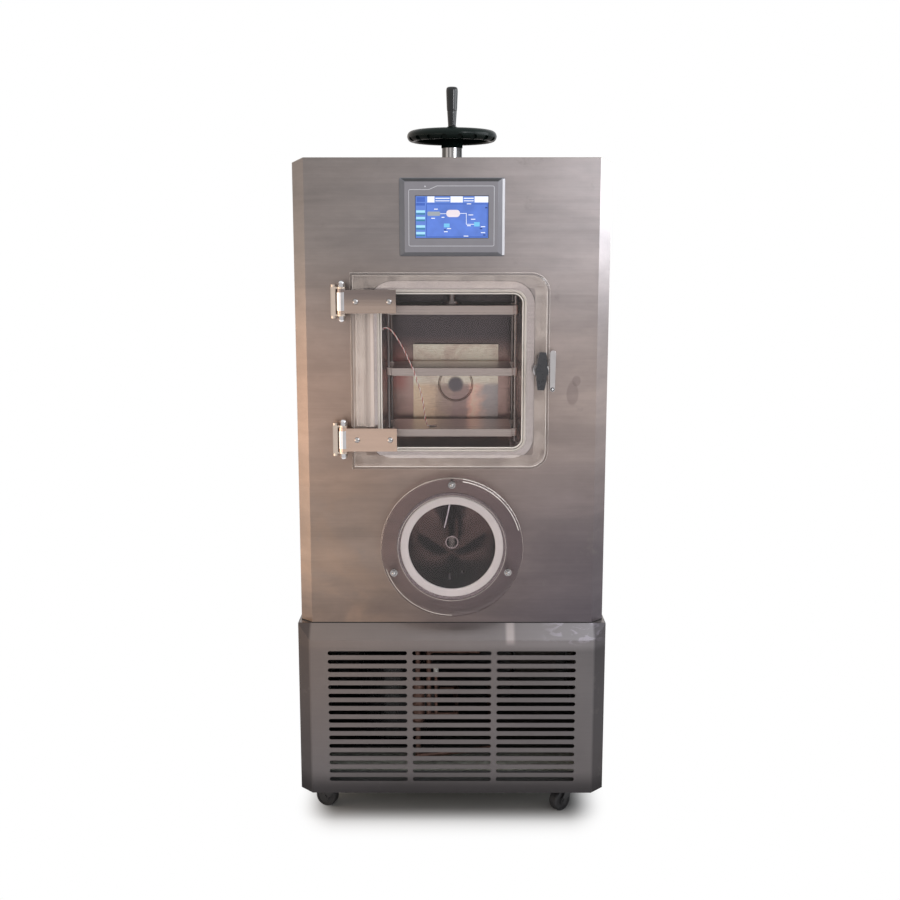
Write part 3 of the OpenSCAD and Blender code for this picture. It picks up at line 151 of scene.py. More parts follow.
class Shader(Tree):
    """A material around a Principled shader, kept in MATERIALS by its name."""

    def __init__(self, name, color, rough=0.5, metal=0.0, **sockets):
        self.mat = MATERIALS[name] = bpy.data.materials.new(name)
        self.mat.use_nodes = True
        super().__init__(self.mat.node_tree)
        self.bsdf = self.tree.nodes["Principled BSDF"]
        self.color, self.rough = color, rough
        sockets.update(Base_Color=color, Roughness=rough, Metallic=metal)
        for key, value in sockets.items():
            self.set(key.replace("_", " "), value)
        self.coords = self.node("TexCoord").outputs["Object"]

    def set(self, socket, value):
        self.feed(self.bsdf.inputs[socket], value)

    def axis(self, name):
        return self.split(self.coords, name)

    def gap(self, axis, where):
        """How far a point lies from a place along one axis, with its sign."""
        return self.math("SUBTRACT", self.axis(axis), where)

    def distance(self, a, b):
        squares = self.math("ADD", self.math("POWER", a, 2.0), self.math("POWER", b, 2.0))
        return self.math("SQRT", squares)

    def noise(self, scale, detail=4.0, rough=0.55, distort=0.0):
        """Noise whose features are 1 / scale metres long, on each axis or on all of them."""
        scale = scale if isinstance(scale, tuple) else (scale,) * 3
        mapping = self.node("Mapping", {"Vector": self.coords, "Scale": scale})
        inputs = {"Vector": mapping.outputs[0], "Scale": 1.0, "Detail": detail,
                  "Roughness": rough, "Distortion": distort}
        return self.node("TexNoise", inputs).outputs["Fac"]

    def bands(self, value, low, high, stops):
        """Runs through (share of the way from low to high, colour) stops."""
        made = self.node("ValToRGB", {0: self.span(value, low, high)})
        marks = made.color_ramp.elements
        for k, (share, color) in enumerate(stops):
            mark = marks[k] if k < 2 else marks.new(share)
            mark.position = share
            mark.color = (*color, 1)
        return made.outputs[0]

    def tone(self, factor, share, color=None):
        """Colour from (1 - share) to (1 + share) of the base as factor goes from 0 to 1."""
        base = color or self.color
        ends = (tuple(c * k for c in base) for k in (1 - share, 1 + share))
        return self.mix(self.span(factor, 0.3, 0.7), *ends)

    def tint_by(self, color, factor):
        return self.mix(1.0, color, factor, "MULTIPLY")

    def vary_rough(self, factor, share):
        low, high = self.rough - share, self.rough + share
        self.set("Roughness", self.span(factor, 0.3, 0.7, low, high))

    def bump(self, height, strength, distance):
        inputs = {"Strength": strength, "Distance": distance, "Height": height}
        self.set("Normal", self.node("Bump", inputs).outputs[0])

    def overlay(self, share, kind, color=(1, 1, 1)):
        """Puts a plain shader of another kind in place of this one by a share."""
        other = self.node(kind, {"Color": color})
        surface = self.tree.nodes["Material Output"].inputs["Surface"]
        self.mix_shaders(share, self.bsdf.outputs[0], other.outputs[0], surface)


# ---- kinds of material ----


def plain(name, color, rough, metal=0.0, var=0.08, scale=40, grain=0.0, grain_scale=900):
    """Moulded, painted or cast stuff: a soft colour mottle, uneven gloss and a fine grain."""
    s = Shader(name, color, rough, metal)
    s.set("Base Color", s.tone(s.noise(scale), var))
    s.vary_rough(s.noise(scale * 2.3), min(0.08, rough * 0.35))
    if grain:
        s.bump(s.noise(grain_scale, detail=2), grain, 0.0002)


def brushed(name, color, rough, along="X", var=0.05, blotch=0.05, stain=None, level=None):
    """Rolled or brushed metal: long fine streaks along one axis over broad clouds."""
    s = Shader(name, color, rough, 1.0)
    streak = s.noise(tuple(2.2 if a == along else 330.0 for a in "XYZ"), detail=3)
    fine = s.noise(tuple(9.0 if a == along else 2400.0 for a in "XYZ"), detail=2)
    cloud = s.noise((5.0, 5.0, 6.5), detail=5, rough=0.6)
    tint = s.tint_by(s.tone(cloud, blotch), s.tone(streak, var, (1, 1, 1)))
    # level paints light and shade by place into the tint.
    if level:
        tint = s.tint_by(tint, level(s))
    if stain:
        spot = s.span(s.noise(14, detail=6, rough=0.7), 0.62, 0.74)
        tint = s.mix(s.times(spot, stain), tint, tuple(c * 0.72 for c in color))
    s.set("Base Color", tint)
    grain = s.math("ADD", s.times(streak, 0.5), s.times(fine, 0.5))
    s.vary_rough(grain, 0.06)
    s.bump(grain, 0.10, 0.0003)


def polished(name, color, rough):
    """Bright metal with a slightly uneven gloss."""
    s = Shader(name, color, rough, 1.0)
    s.set("Base Color", s.tone(s.noise(60), 0.05))
    s.vary_rough(s.noise(140, detail=5), rough * 0.45)
    s.bump(s.noise(25), 0.05, 0.0004)


def clear(name, color, rough=0.02, haze=0.04):
    """Acrylic that lets lamps and bounced light through, with faint wiping marks."""
    s = Shader(name, color, rough, IOR=1.49, Transmission_Weight=1.0)
    wipe = s.noise((30, 30, 9), detail=6, rough=0.7, distort=1.5)
    s.set("Roughness", s.span(wipe, 0.45, 0.75, rough, rough + haze))
    s.set("Base Color", s.tone(wipe, 0.015))
    rays = s.rays()
    bounced = s.most(rays["Is Diffuse Ray"], rays["Is Glossy Ray"])
    let_through = s.most(rays["Is Shadow Ray"], bounced)
    s.overlay(let_through, "BsdfTransparent", tuple(c ** 2 * 0.96 for c in color))


def frosted(name, color, thin, thick, scale=(90, 90, 0.6)):
    """Clear plastic with a faint grain. thin and thick are the shares of light let through."""
    s = Shader(name, color, 0.25)
    grain = s.noise(scale, detail=3)
    s.set("Base Color", s.tone(grain, 0.15))
    s.bump(grain, 0.2, 0.0005)
    let_through = s.most(s.rays()["Is Shadow Ray"], s.span(grain, 0.35, 0.65, thin, thick))
    s.overlay(let_through, "BsdfTransparent")


def fins(name, color):
    """Thin upright plates, as lines of light and dark 2 mm apart; the dark lines are painted shade
    in the gaps.
    """
    s = Shader(name, color, 0.45, 1.0)
    wave = s.node("TexWave", {"Vector": s.coords, "Scale": 160},
                  bands_direction="X", wave_profile="SAW").outputs["Fac"]
    s.set("Base Color", s.mix(wave, tuple(c * 0.25 for c in color), color))
    s.bump(wave, 0.8, 0.001)


def glow(name, color, strength=0.85, var=0.04):
    """A lit screen colour, a little uneven like a backlight."""
    s = Shader("screen_" + name, color, 0.25, Emission_Strength=strength)
    tint = s.tone(s.noise(30, detail=2), var)
    s.set("Base Color", s.tint_by(tint, (0.25, 0.25, 0.25)))
    s.set("Emission Color", tint)


# ---- materials of single parts, with painted light toned by place ----


def baffle(name):
    """Warm polished plate in painted light: straw above, painted reflections in streaks of gold,
    mauve, copper and grey below.
    """
    s = Shader(name, (0.93, 0.77, 0.62), 0.2, 1.0)
    low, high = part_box("vapour_baffle")
    cloud = s.noise((11, 11, 8), detail=5, rough=0.6, distort=1.2)
    # Painted light: pale straw clouds on the part above the middle shelf's painted shadow.
    straw = s.ease(cloud, 0.40, 0.66)
    upper = s.mix(straw, (1.0, 0.92, 0.78), (0.84, 0.70, 0.60))
    # Painted reflections: upright streaks of gold, mauve, copper and grey below that shadow edge.
    across = s.math("ADD", s.axis("X"), s.span(cloud, 0.0, 1.0, -0.045, 0.045))
    lower = s.bands(across, low.x, high.x, (
        (0.0, (1.0, 0.78, 0.58)), (0.18, (0.95, 0.72, 0.54)), (0.30, (0.60, 0.46, 0.38)),
        (0.46, (0.46, 0.34, 0.33)), (0.62, (0.50, 0.36, 0.34)), (0.70, (1.25, 0.74, 0.60)),
        (0.78, (0.86, 0.62, 0.54)), (0.86, (0.55, 0.50, 0.50)), (1.0, (0.50, 0.45, 0.45))))
    # The middle shelf's painted shadow edge across the plate.
    above = s.ease(s.axis("Z"), 0.975, 0.990)
    tint = s.mix(above, lower, upper)
    centre = centre_of("vapour_baffle")
    away = s.distance(s.gap("X", centre.x), s.gap("Z", centre.z))
    off_boss = s.ease(away, 0.013, 0.022)
    tint = s.mix(off_boss, (0.20, 0.18, 0.20), tint)
    marks = s.noise((60, 60, 400), detail=3)
    s.set("Base Color", s.tint_by(tint, s.tone(marks, 0.12, (1, 1, 1))))
    s.vary_rough(marks, 0.06)
    s.bump(marks, 0.08, 0.0004)


def cold_trap(name):
    """Trap inside in painted shade: brown painted reflections up the back, blue-black below, two
    painted glints.
    """
    s = Shader(name, (0.12, 0.11, 0.12), 0.16, 1.0)
    x, depth = s.axis("X"), s.gap("Y", FRONT)
    cloud = s.noise((14, 6, 14), detail=4, rough=0.6, distort=0.8)
    side = s.math("ABSOLUTE", s.math("ADD", x, s.span(cloud, 0.0, 1.0, -0.03, 0.03)))
    # Painted shade below: blue-black, darkest at the middle.
    lower = s.mix(s.span(side, 0.015, 0.09), (0.055, 0.052, 0.06), (0.15, 0.145, 0.17))
    # Painted reflection: brown wedges up the back.
    wedge_tip = 0.545
    slope = s.math("DIVIDE", side, s.most(s.gap("Z", wedge_tip), 0.002))
    inner, outer = s.ease(slope, 0.25, 0.5), s.ease(slope, 1.9, 1.3)
    wedge = s.times(inner, outer)
    back = s.mix(wedge, (0.06, 0.05, 0.052), (0.32, 0.235, 0.21))
    tint = s.mix(s.ease(depth, 0.40, 0.46), lower, back)
    # Two painted glints, as thin bright streaks that are not metallic.
    streaks = []
    for where, near, far in ((-0.0045, 0.115, 0.22), (0.0235, 0.18, 0.235)):
        across = s.math("ABSOLUTE", s.math("SUBTRACT", x, where))
        line = s.ease(across, 0.0012, 0.0030, 1.0, 0.0)
        starts, ends = s.span(depth, near, near + 0.01), s.span(depth, far, far - 0.02)
        streaks.append(s.times(line, s.times(starts, ends)))
    painted_glint = s.most(*streaks)
    s.set("Base Color", s.mix(painted_glint, tint, (0.95, 0.94, 0.95)))
    s.set("Metallic", s.math("SUBTRACT", 1.0, painted_glint))
    s.vary_rough(cloud, 0.05)
    s.bump(cloud, 0.15, 0.002)


def bay_floor(name):
    """Zinc-coated plate, dusty, and darkened with painted shade away from the louvres."""
    s = Shader(name, (0.62, 0.64, 0.58), 0.5, 0.2)
    dust = s.noise(70)
    # Painted shade: black further back from the louvres.
    near = s.ease(s.axis("Y"), FRONT + 0.10, FRONT + 0.22, 1.0, 0.06)
    s.set("Base Color", s.tint_by(s.tone(dust, 0.2), s.mix(near, (0, 0, 0), (1, 1, 1))))
    s.vary_rough(dust, 0.08)


def wheel_black(name):
    """Glossy black moulding, dull on the underside of the web inside the rim."""
    s = Shader(name, (0.004, 0.008, 0.007), 0.22)
    s.set("Base Color", s.tone(s.noise(40), 0.1))
    s.vary_rough(s.noise(92), 0.07)
    centre = centre_of("handwheel")
    away = s.distance(s.gap("X", centre.x), s.gap("Y", centre.y))
    rim = s.span(away, 0.080, 0.084)
    top = s.span(s.axis("Z"), centre.z + 0.001, centre.z + 0.004)
    s.set("Specular IOR Level", s.span(s.most(rim, top), 0.0, 1.0, 0.0, 0.15))
    s.bump(s.noise(900, detail=2), 0.02, 0.0002)


def column(name):
    """Chromed tube with painted reflections: the soft upright bands of light and dark that a round
    bar shows.
    """
    s = Shader(name, (0.6, 0.6, 0.6), 0.22, 1.0, Specular_IOR_Level=0.1)
    radius = 0.0225
    reflection_bands = ((0.0, 0.10), (0.17, 0.14), (0.26, 0.75), (0.33, 0.17), (0.43, 0.85), (0.50, 0.30),
             (0.56, 0.34), (0.64, 0.90), (0.70, 0.45), (0.76, 0.14), (0.92, 0.05), (1.0, 0.04))
    tint = s.bands(s.axis("X"), -radius, radius, [(t, (v, v, v)) for t, v in reflection_bands])
    wear = s.noise((120, 120, 15), detail=3)
    s.set("Base Color", s.tint_by(tint, s.tone(wear, 0.06, (1, 1, 1))))
    # The right part is not metallic, so the painted reflection bands show there as plain colour.
    s.set("Metallic", s.span(s.axis("X"), 0.40 * radius, 0.50 * radius, 1.0, 0.0))
    s.vary_rough(wear, 0.05)


def strap_painted_light(s):
    """Painted light: the upper strap darkens towards its top edge, and the lower one is pale and
    warm.
    """
    top = s.ease(s.axis("Z"), 1.168, 1.204)
    upper = s.mix(top, (0.98, 0.94, 0.90), (0.52, 0.52, 0.55))
    return s.mix(s.span(s.axis("Z"), 1.0, 1.1), (1.24, 1.10, 1.0), upper)


def cabinet_light_and_stains(s):
    """The big front in painted light: pale high up at the right, brown at the left, dull towards
    the seam.
    """
    # Painted light and reflection: warm at the left, pale and cool high up at the right, dull low
    # down.
    side = s.ease(s.axis("X"), -0.34, 0.34)
    tone = s.mix(side, (0.64, 0.54, 0.48), (0.38, 0.37, 0.44))
    bands = (
        (0.47, 0.62, (0.98, 0.84, 0.74), (0.52, 0.50, 0.57)),
        (0.60, 0.98, (1.15, 0.95, 0.84), (1.28, 1.19, 1.18)),
        (0.96, 1.34, (0.82, 0.83, 0.85), (1.46, 1.48, 1.58)),
    )
    for low, high, left, right in bands:
        rise = s.ease(s.axis("Z"), low, high)
        tone = s.mix(rise, tone, s.mix(side, left, right))
    haze = s.noise((7, 7, 9), detail=4, rough=0.5, distort=0.6)
    corner = s.times(s.span(s.axis("X"), -0.05, -0.25), s.span(s.axis("Z"), 1.0, 0.62))
    brown = s.times(corner, s.ease(haze, 0.36, 0.66))
    tone = s.mix(s.times(brown, 0.50), tone, (1.22, 0.93, 0.72))
    wiped = s.noise((5, 5, 22), detail=5, rough=0.6, distort=0.4)
    wiped = s.span(s.span(wiped, 0.40, 0.66, 0.93, 1.08), 0.93, 1.08)
    tone = s.tint_by(tone, s.mix(wiped, (0.93, 0.93, 0.93), (1.08, 1.07, 1.06)))
    ragged = s.span(haze, 0.3, 0.7, -0.35, 0.35)
    stains = ((0.264, 0.985, 0.012, 0.022), (0.272, 1.012, 0.008, 0.010))
    for x, z, wide, tall in stains:
        across = s.math("DIVIDE", s.gap("X", x), wide)
        away = s.distance(across, s.math("DIVIDE", s.gap("Z", z), tall))
        spot = s.ease(s.math("ADD", away, ragged), 0.8, 1.15, 0.30, 0.0)
        tone = s.mix(spot, tone, (0.45, 0.38, 0.42))
    return tone


def chamber_painted_light(s):
    """Painted light: the flange and the side walls are paler than the upper part of the back."""
    off_flange = s.span(s.axis("Y"), FRONT + 0.001, FRONT + 0.02)
    back = s.span(s.axis("Y"), FRONT + 0.30, FRONT + 0.36)
    # Painted reflections low on the back, warm with a red patch at the left, and painted shade
    # higher up.
    high = s.ease(s.axis("Z"), 1.02, 1.10)
    left = s.ease(s.axis("X"), -0.095, -0.125)
    red = s.times(left, s.span(s.axis("Z"), 0.955, 0.98))
    low = s.mix(s.times(red, 0.6), (2.1, 1.62, 1.5), (1.7, 0.55, 0.52))
    inside = s.mix(back, (1.25, 1.05, 1.02), s.mix(high, low, (0.40, 0.38, 0.42)))
    return s.mix(off_flange, (2.6, 2.6, 2.6), inside)


def base_light_and_scuffs(s):
    """The base is duller than the cabinet, with painted shade near the floor and a painted
    highlight and scuffs at its shoulder.
    """
    # Painted light: warm at the left, cool at the right, darker low down.
    side = s.span(s.axis("X"), -0.34, 0.34)
    high = s.span(s.axis("Z"), 0.12, 0.44)
    middle = s.mix(side, (0.55, 0.50, 0.48), (0.43, 0.45, 0.49))
    tone = s.mix(high, (0.40, 0.41, 0.44), middle)
    # Painted light: a paler top strip.
    top = s.ease(s.axis("Z"), 0.405, 0.425)
    tone = s.mix(top, tone, s.mix(side, (0.60, 0.54, 0.51), (0.66, 0.69, 0.76)))
    # A painted highlight: a narrow bright streak across the shoulder.
    shoulder = s.span(s.axis("Z"), 0.42, 0.435)
    across = s.math("ABSOLUTE", s.gap("X", 0.131))
    streak = s.ease(across, 0.004, 0.014, 0.45, 0.0)
    tone = s.mix(s.times(streak, shoulder), tone, (1.9, 1.85, 1.9))
    # Pale lilac scuffs at the right of the shoulder, brightened with painted sheen.
    right = s.times(s.span(s.axis("X"), 0.20, 0.24), shoulder)
    patchy = s.ease(s.noise((26, 26, 60), detail=4, distort=1.0), 0.53, 0.60)
    scuffs_and_sheen = s.times(patchy, right)
    tone = s.mix(s.times(scuffs_and_sheen, 0.35), tone, (1.30, 1.33, 1.60))
    # Painted shade near the floor.
    clear_of_floor_shade = s.ease(s.axis("Z"), 0.075, 0.13)
    tone = s.mix(clear_of_floor_shade, (0.15, 0.155, 0.17), tone)
    # Painted shade on the cut corners.
    shaded_corner_cut = s.span(s.math("ABSOLUTE", s.axis("X")), 0.316, 0.322)
    return s.tint_by(tone, s.mix(shaded_corner_cut, (1.04, 1.04, 1.04), (0.46, 0.45, 0.46)))


def make_materials():
    steel = (0.330, 0.300, 0.285)
    brushed("brushed_steel", steel, 0.36, var=0.03, blotch=0.11, stain=0.35, level=cabinet_light_and_stains)
    brushed("base_steel", steel, 0.36, var=0.03, blotch=0.07, stain=0.2, level=base_light_and_scuffs)
    brushed("steel_side", steel, 0.36, along="Y", stain=0.35)
    brushed("steel_roof", steel, 0.36, stain=0.35)
    plain("frame_steel", (0.22, 0.225, 0.23), 0.5, 0.7, grain=0.15)
    plain("galvanised", (0.42, 0.43, 0.42), 0.42, 0.8, var=0.16, scale=70)
    brushed("polished_steel", (0.52, 0.47, 0.45), 0.16, var=0.03)
    baffle("baffle_steel")
    column("column_steel")
    brushed("chamber_steel", (0.30, 0.27, 0.265), 0.2, var=0.04, blotch=0.08, level=chamber_painted_light)
    cold_trap("trap_steel")
    brushed("flange_steel", (0.34, 0.30, 0.295), 0.2, var=0.03)
    brushed("strap_steel", (0.56, 0.47, 0.42), 0.22, var=0.04, level=strap_painted_light)
    brushed("bracket_steel", (0.66, 0.57, 0.49), 0.3, along="Z", var=0.08)
    brushed("shelf_steel", (0.58, 0.50, 0.47), 0.3, var=0.04)
    polished("chrome", (0.72, 0.72, 0.74), 0.07)
    polished("bolt_chrome", (0.40, 0.39, 0.39), 0.1)
    polished("rod_steel", (0.26, 0.24, 0.24), 0.16)
    bay_floor("bay_floor")
    # The casters are painted near black as painted shade, for the shadow under the base.
    plain("caster_grey", (0.022, 0.022, 0.024), 0.55, grain=0.2)
    plain("caster_steel", (0.03, 0.03, 0.032), 0.4, 0.3, grain=0.15)
    plain("bezel", (0.168, 0.166, 0.186), 0.42, var=0.03, grain=0.12)
    # The bezel's darker copies are painted shade, and the pale line colour serves both print and a
    # painted highlight.
    plain("bezel_half_shade", (0.10, 0.105, 0.12), 0.4, var=0.03, grain=0.12)
    plain("bezel_shade", (0.022, 0.023, 0.026), 0.5, var=0.05, grain=0.1)
    plain("bezel_line", (0.52, 0.53, 0.57), 0.4, var=0.02)
    plain("silicone", (0.58, 0.53, 0.49), 0.45, var=0.05)
    # The seal's pale lip and dark groove colours are a painted highlight and painted shade.
    plain("silicone_lip_highlight", (0.80, 0.76, 0.71), 0.4, var=0.04)
    plain("silicone_groove_shade", (0.30, 0.27, 0.25), 0.5, var=0.06)
    plain("white_seal", (0.76, 0.79, 0.735), 0.5, var=0.04, scale=25)
    plain("copper", (0.50, 0.20, 0.11), 0.28, 1.0, var=0.15)
    plain("dark_copper", (0.17, 0.10, 0.08), 0.4, 0.6, var=0.25)
    plain("knob_black", (0.030, 0.031, 0.035), 0.3, var=0.1, grain=0.05)
    plain("grip_grey", (0.010, 0.012, 0.013), 0.12, var=0.1, grain=0.02)
    plain("seam_black", (0.008, 0.008, 0.008), 0.6, var=0.2)
    plain("foam", (0.012, 0.012, 0.012), 0.8, grain=0.6, grain_scale=300)
    # The two acrylic edge colours are painted sheen and painted highlights on the panes' edges.
    plain("acrylic_edge_sheen", (0.42, 0.38, 0.35), 0.12, var=0.35, scale=9)
    plain("acrylic_glint", (0.74, 0.70, 0.66), 0.15, var=0.35, scale=14)
    clear("acrylic", (0.985, 0.985, 0.985))
    clear("acrylic_smoke", (0.94, 0.92, 0.93))
    frosted("acrylic_haze", (0.62, 0.55, 0.50), 0.90, 0.72, (26, 26, 26))
    frosted("frosted", (0.86, 0.75, 0.68), 0.76, 0.44)
    wheel_black("black_gloss")
    plain("compressor_black", (0.012, 0.012, 0.013), 0.3, grain=0.2)
    plain("black_plastic", (0.015, 0.015, 0.016), 0.5, grain=0.2)
    fins("fins", (0.40, 0.41, 0.42))
    plain("drier_white", (0.75, 0.75, 0.73), 0.35)
    plain("lead_red", (0.42, 0.06, 0.05), 0.35)
    plain("lead_white", (0.80, 0.76, 0.73), 0.35)
    glow("blue", (0.11, 0.21, 0.60), var=0.06)
    glow("deep", (0.05, 0.12, 0.46), var=0.06)
    glow("pale", (0.095, 0.19, 0.60), var=0.12)
    glow("white", (0.82, 0.86, 0.92), 0.9)
    glow("teal", (0.04, 0.20, 0.34))
    glow("cyan", (0.16, 0.50, 0.78))
    glow("sky", (0.34, 0.68, 0.86))
    glow("grey", (0.30, 0.34, 0.38))
    glow("rose", (0.76, 0.68, 0.74))
    glow("navy", (0.03, 0.06, 0.25), 0.6)


make_materials()

# ---- mesh tools ----


def piece(name, shape, look, body, smooth=35, replaces=(), indices=None):
    """A mesh piece in row coordinates that rides on a body.

    shape is (verts, faces). look is a material's name, or a list of names that the faces'
    indices count in.
    """
    verts, faces = shape
    mesh = bpy.data.meshes.new(name)
    mesh.from_pydata([tuple(v) for v in verts], [], [tuple(f) for f in faces])
    made = bmesh.new()
    made.from_mesh(mesh)
    bmesh.ops.remove_doubles(made, verts=made.verts, dist=1e-6)
    bmesh.ops.recalc_face_normals(made, faces=made.faces)
    made.to_mesh(mesh)
    made.free()
    for key in [look] if isinstance(look, str) else look:
        mesh.materials.append(MATERIALS[key])
    for polygon, index in zip(mesh.polygons, indices or ()):
        polygon.material_index = index
    mesh.shade_smooth()
    mesh.set_sharp_from_angle(angle=math.radians(smooth))
    obj = link(bpy.data.objects.new(name, mesh))
    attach(obj, body)
    if replaces:
        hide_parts(*replaces)
    return obj


def join(*shapes):
    verts, faces = [], []
    for v, f in shapes:
        base = len(verts)
        verts += v
        faces += [tuple(i + base for i in g) for g in f]
    return verts, faces


def coloured(name, parts, body, replaces=()):
    """One piece out of (material, (verts, faces)) parts."""
    looks = sorted({look for look, _ in parts})
    indices = [looks.index(look) for look, shape in parts for _ in shape[1]]
    shape = join(*(shape for _, shape in parts))
    return piece(name, shape, looks, body, 35, replaces, indices)


def bevel(obj, width, segments=3, angle=35, weld=False):
    if weld:
        obj.modifiers.new("weld", "WELD").merge_threshold = 1e-5
    made = obj.modifiers.new("bevel", "BEVEL")
    made.width = width * MM
    made.segments = segments
    made.limit_method = "ANGLE"
    made.angle_limit = math.radians(angle)
    made.harden_normals = True
    return obj


def span_of(node):
    """A node's box in millimetres, as x, y and z ranges with y from the cabinet's front face."""
    low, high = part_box(node)
    return [((a - o) / MM, (b - o) / MM) for a, b, o in zip(low, high, (0.0, FRONT, 0.0))]


def middle(low, high):
    return (low + high) / 2


def upright(x, y, z):
    """Places a turned shape on a vertical axis, heights up from z."""
    return lambda r, a, h: at(x + r * math.cos(a), y + r * math.sin(a), z + h)


def facing(x, z, y=0):
    """Places a turned shape on an axis that points to the front, heights forward from y."""
    return lambda r, a, h: at(x + r * math.cos(a), y - h, z + r * math.sin(a))


def skin(rows, around=False, lids=False):
    """Joins closed outlines of one length to each other in turn.

    around joins the last to the first, and lids closes both ends.
    """
    n, m = len(rows[0]), len(rows)
    verts = [p for row in rows for p in row]
    faces = []
    for i in range(m if around else m - 1):
        here, after = i * n, (i + 1) % m * n
        faces += [(here + k, here + (k + 1) % n, after + (k + 1) % n, after + k) for k in range(n)]
    if lids:
        faces += [tuple(range(n)), tuple(range(n * m - 1, n * m - 1 - n, -1))]
    return verts, faces


def lathe(profile, seg, place):
    """Turns a closed profile of (radius, height) round the axis that place gives."""
    turns = (2 * math.pi * i / seg for i in range(seg))
    return skin([[place(r, a, h) for r, h in profile] for a in turns], around=True)


def solid_lathe(profile, seg, place):
    """Turns an open profile that starts and ends on the axis."""
    verts, faces = [place(0, 0, profile[0][1]), place(0, 0, profile[-1][1])], []
    n = len(profile) - 2
    for i in range(seg):
        a = 2 * math.pi * i / seg
        verts += [place(r, a, h) for r, h in profile[1:-1]]
        p, q = 2 + i * n, 2 + (i + 1) % seg * n
        faces.append((0, p, q))
        faces += [(p + k, p + k + 1, q + k + 1, q + k) for k in range(n - 1)]
        faces.append((p + n - 1, 1, q + n - 1))
    return verts, faces


def prism(outline, y0, y1):
    """An XZ outline in millimetres made solid from y0 back to y1."""
    return skin([[at(x, y, z) for x, z in outline] for y in (y0, y1)], lids=True)


def block(x0, x1, y0, y1, z0, z1):
    return prism([(x0, z0), (x1, z0), (x1, z1), (x0, z1)], y0, y1)


def arc(cx, cz, radius, start, end, steps):
    """Points along an arc, with its angles in degrees."""
    turns = (math.radians(start + (end - start) * k / steps) for k in range(steps + 1))
    return [(cx + radius * math.cos(a), cz + radius * math.sin(a)) for a in turns]


def round_rect(w, h, r, steps, cx, cz):
    out = []
    for sx, sz, start in ((1, 1, 0), (-1, 1, 90), (-1, -1, 180), (1, -1, 270)):
        corner = (cx + sx * (w / 2 - r), cz + sz * (h / 2 - r))
        out += arc(*corner, r, start, start + 90, steps)
    return out


def rounded(points, radius, steps):
    """A profile with its corners rounded: points are (x, y) or (x, y, own radius)."""
    out, n = [], len(points)
    for i, p in enumerate(points):
        r = p[2] if len(p) > 2 else radius
        a, b, c = (Vector(q[:2]) for q in (points[i - 1], p, points[(i + 1) % n]))
        u, v = (a - b), (c - b)
        if r <= 0:
            out.append(tuple(b))
            continue
        reach = min(r / math.tan(u.angle(v) / 2), u.length * 0.49, v.length * 0.49)
        s, e = b + u.normalized() * reach, b + v.normalized() * reach
        for k in range(steps + 1):
            t = k / steps
            out.append(tuple(s * (1 - t) ** 2 + b * 2 * t * (1 - t) + e * t ** 2))
    return out


def inset(points, d):
    """A closed outline, anticlockwise, with every corner moved d inwards."""
    out, n = [], len(points)
    for i, p in enumerate(points):
        a, b, c = Vector(points[i - 1]), Vector(p), Vector(points[(i + 1) % n])
        u, v = (b - a).normalized(), (c - b).normalized()
        turn = (Vector((-u.y, u.x)) + Vector((-v.y, v.x))).normalized()
        out.append(tuple(b + turn * d / max(turn.dot(Vector((-u.y, u.x))), 0.3)))
    return out


def flat_band(outline, width, y0, y1):
    """A flat band of one width along the inside of a closed outline."""
    inner = inset(outline, width)
    edges = ((outline, y0), (inner, y0), (inner, y1), (outline, y1))
    return skin([[at(x, y, z) for x, z in line] for line, y in edges], around=True)


def beside(way, i, side):
    """The direction along a way at its point i, and a side square to it that turns little."""
    d = (way[min(i + 1, len(way) - 1)] - way[max(i - 1, 0)]).normalized()
    if side is None:
        return d, d.cross(Vector((0, 0, 1))).normalized()
    return d, (side - side.dot(d) * d).normalized()


def tube(way, radii, sides):
    """A round tube along points in metres, with a radius for each."""
    rows, side = [], None
    for i, (p, r) in enumerate(zip(way, radii)):
        d, side = beside(way, i, side)
        turns = (2 * math.pi * k / sides for k in range(sides))
        rows.append([p + r * (math.cos(a) * side + math.sin(a) * d.cross(side)) for a in turns])
    return skin(rows, lids=True)


def spline(points, count):
    """A smooth line through the points at count even steps, and its length."""
    pts = [points[0] * 2 - points[1], *points, points[-1] * 2 - points[-2]]
    fine, between = [], 24
    for i in range(1, len(pts) - 2):
        p0, p1, p2, p3 = pts[i - 1:i + 3]
        for k in range(between):
            t = k / between
            fine.append(0.5 * ((2 * p1) + (p2 - p0) * t + (2 * p0 - 5 * p1 + 4 * p2 - p3) * t * t
                               + (3 * p1 - p0 - 3 * p2 + p3) * t ** 3))
    fine.append(pts[-2])
    gaps = [0.0]
    for a, b in zip(fine, fine[1:]):
        gaps.append(gaps[-1] + (b - a).length)
    out = []
    for i in range(count):
        s = gaps[-1] * i / (count - 1)
        k = min(max(int(np.searchsorted(gaps, s)), 1), len(fine) - 1)
        out.append(fine[k - 1].lerp(fine[k], (s - gaps[k - 1]) / (gaps[k] - gaps[k - 1])))
    return out, gaps[-1]


# ---- touch panel ----


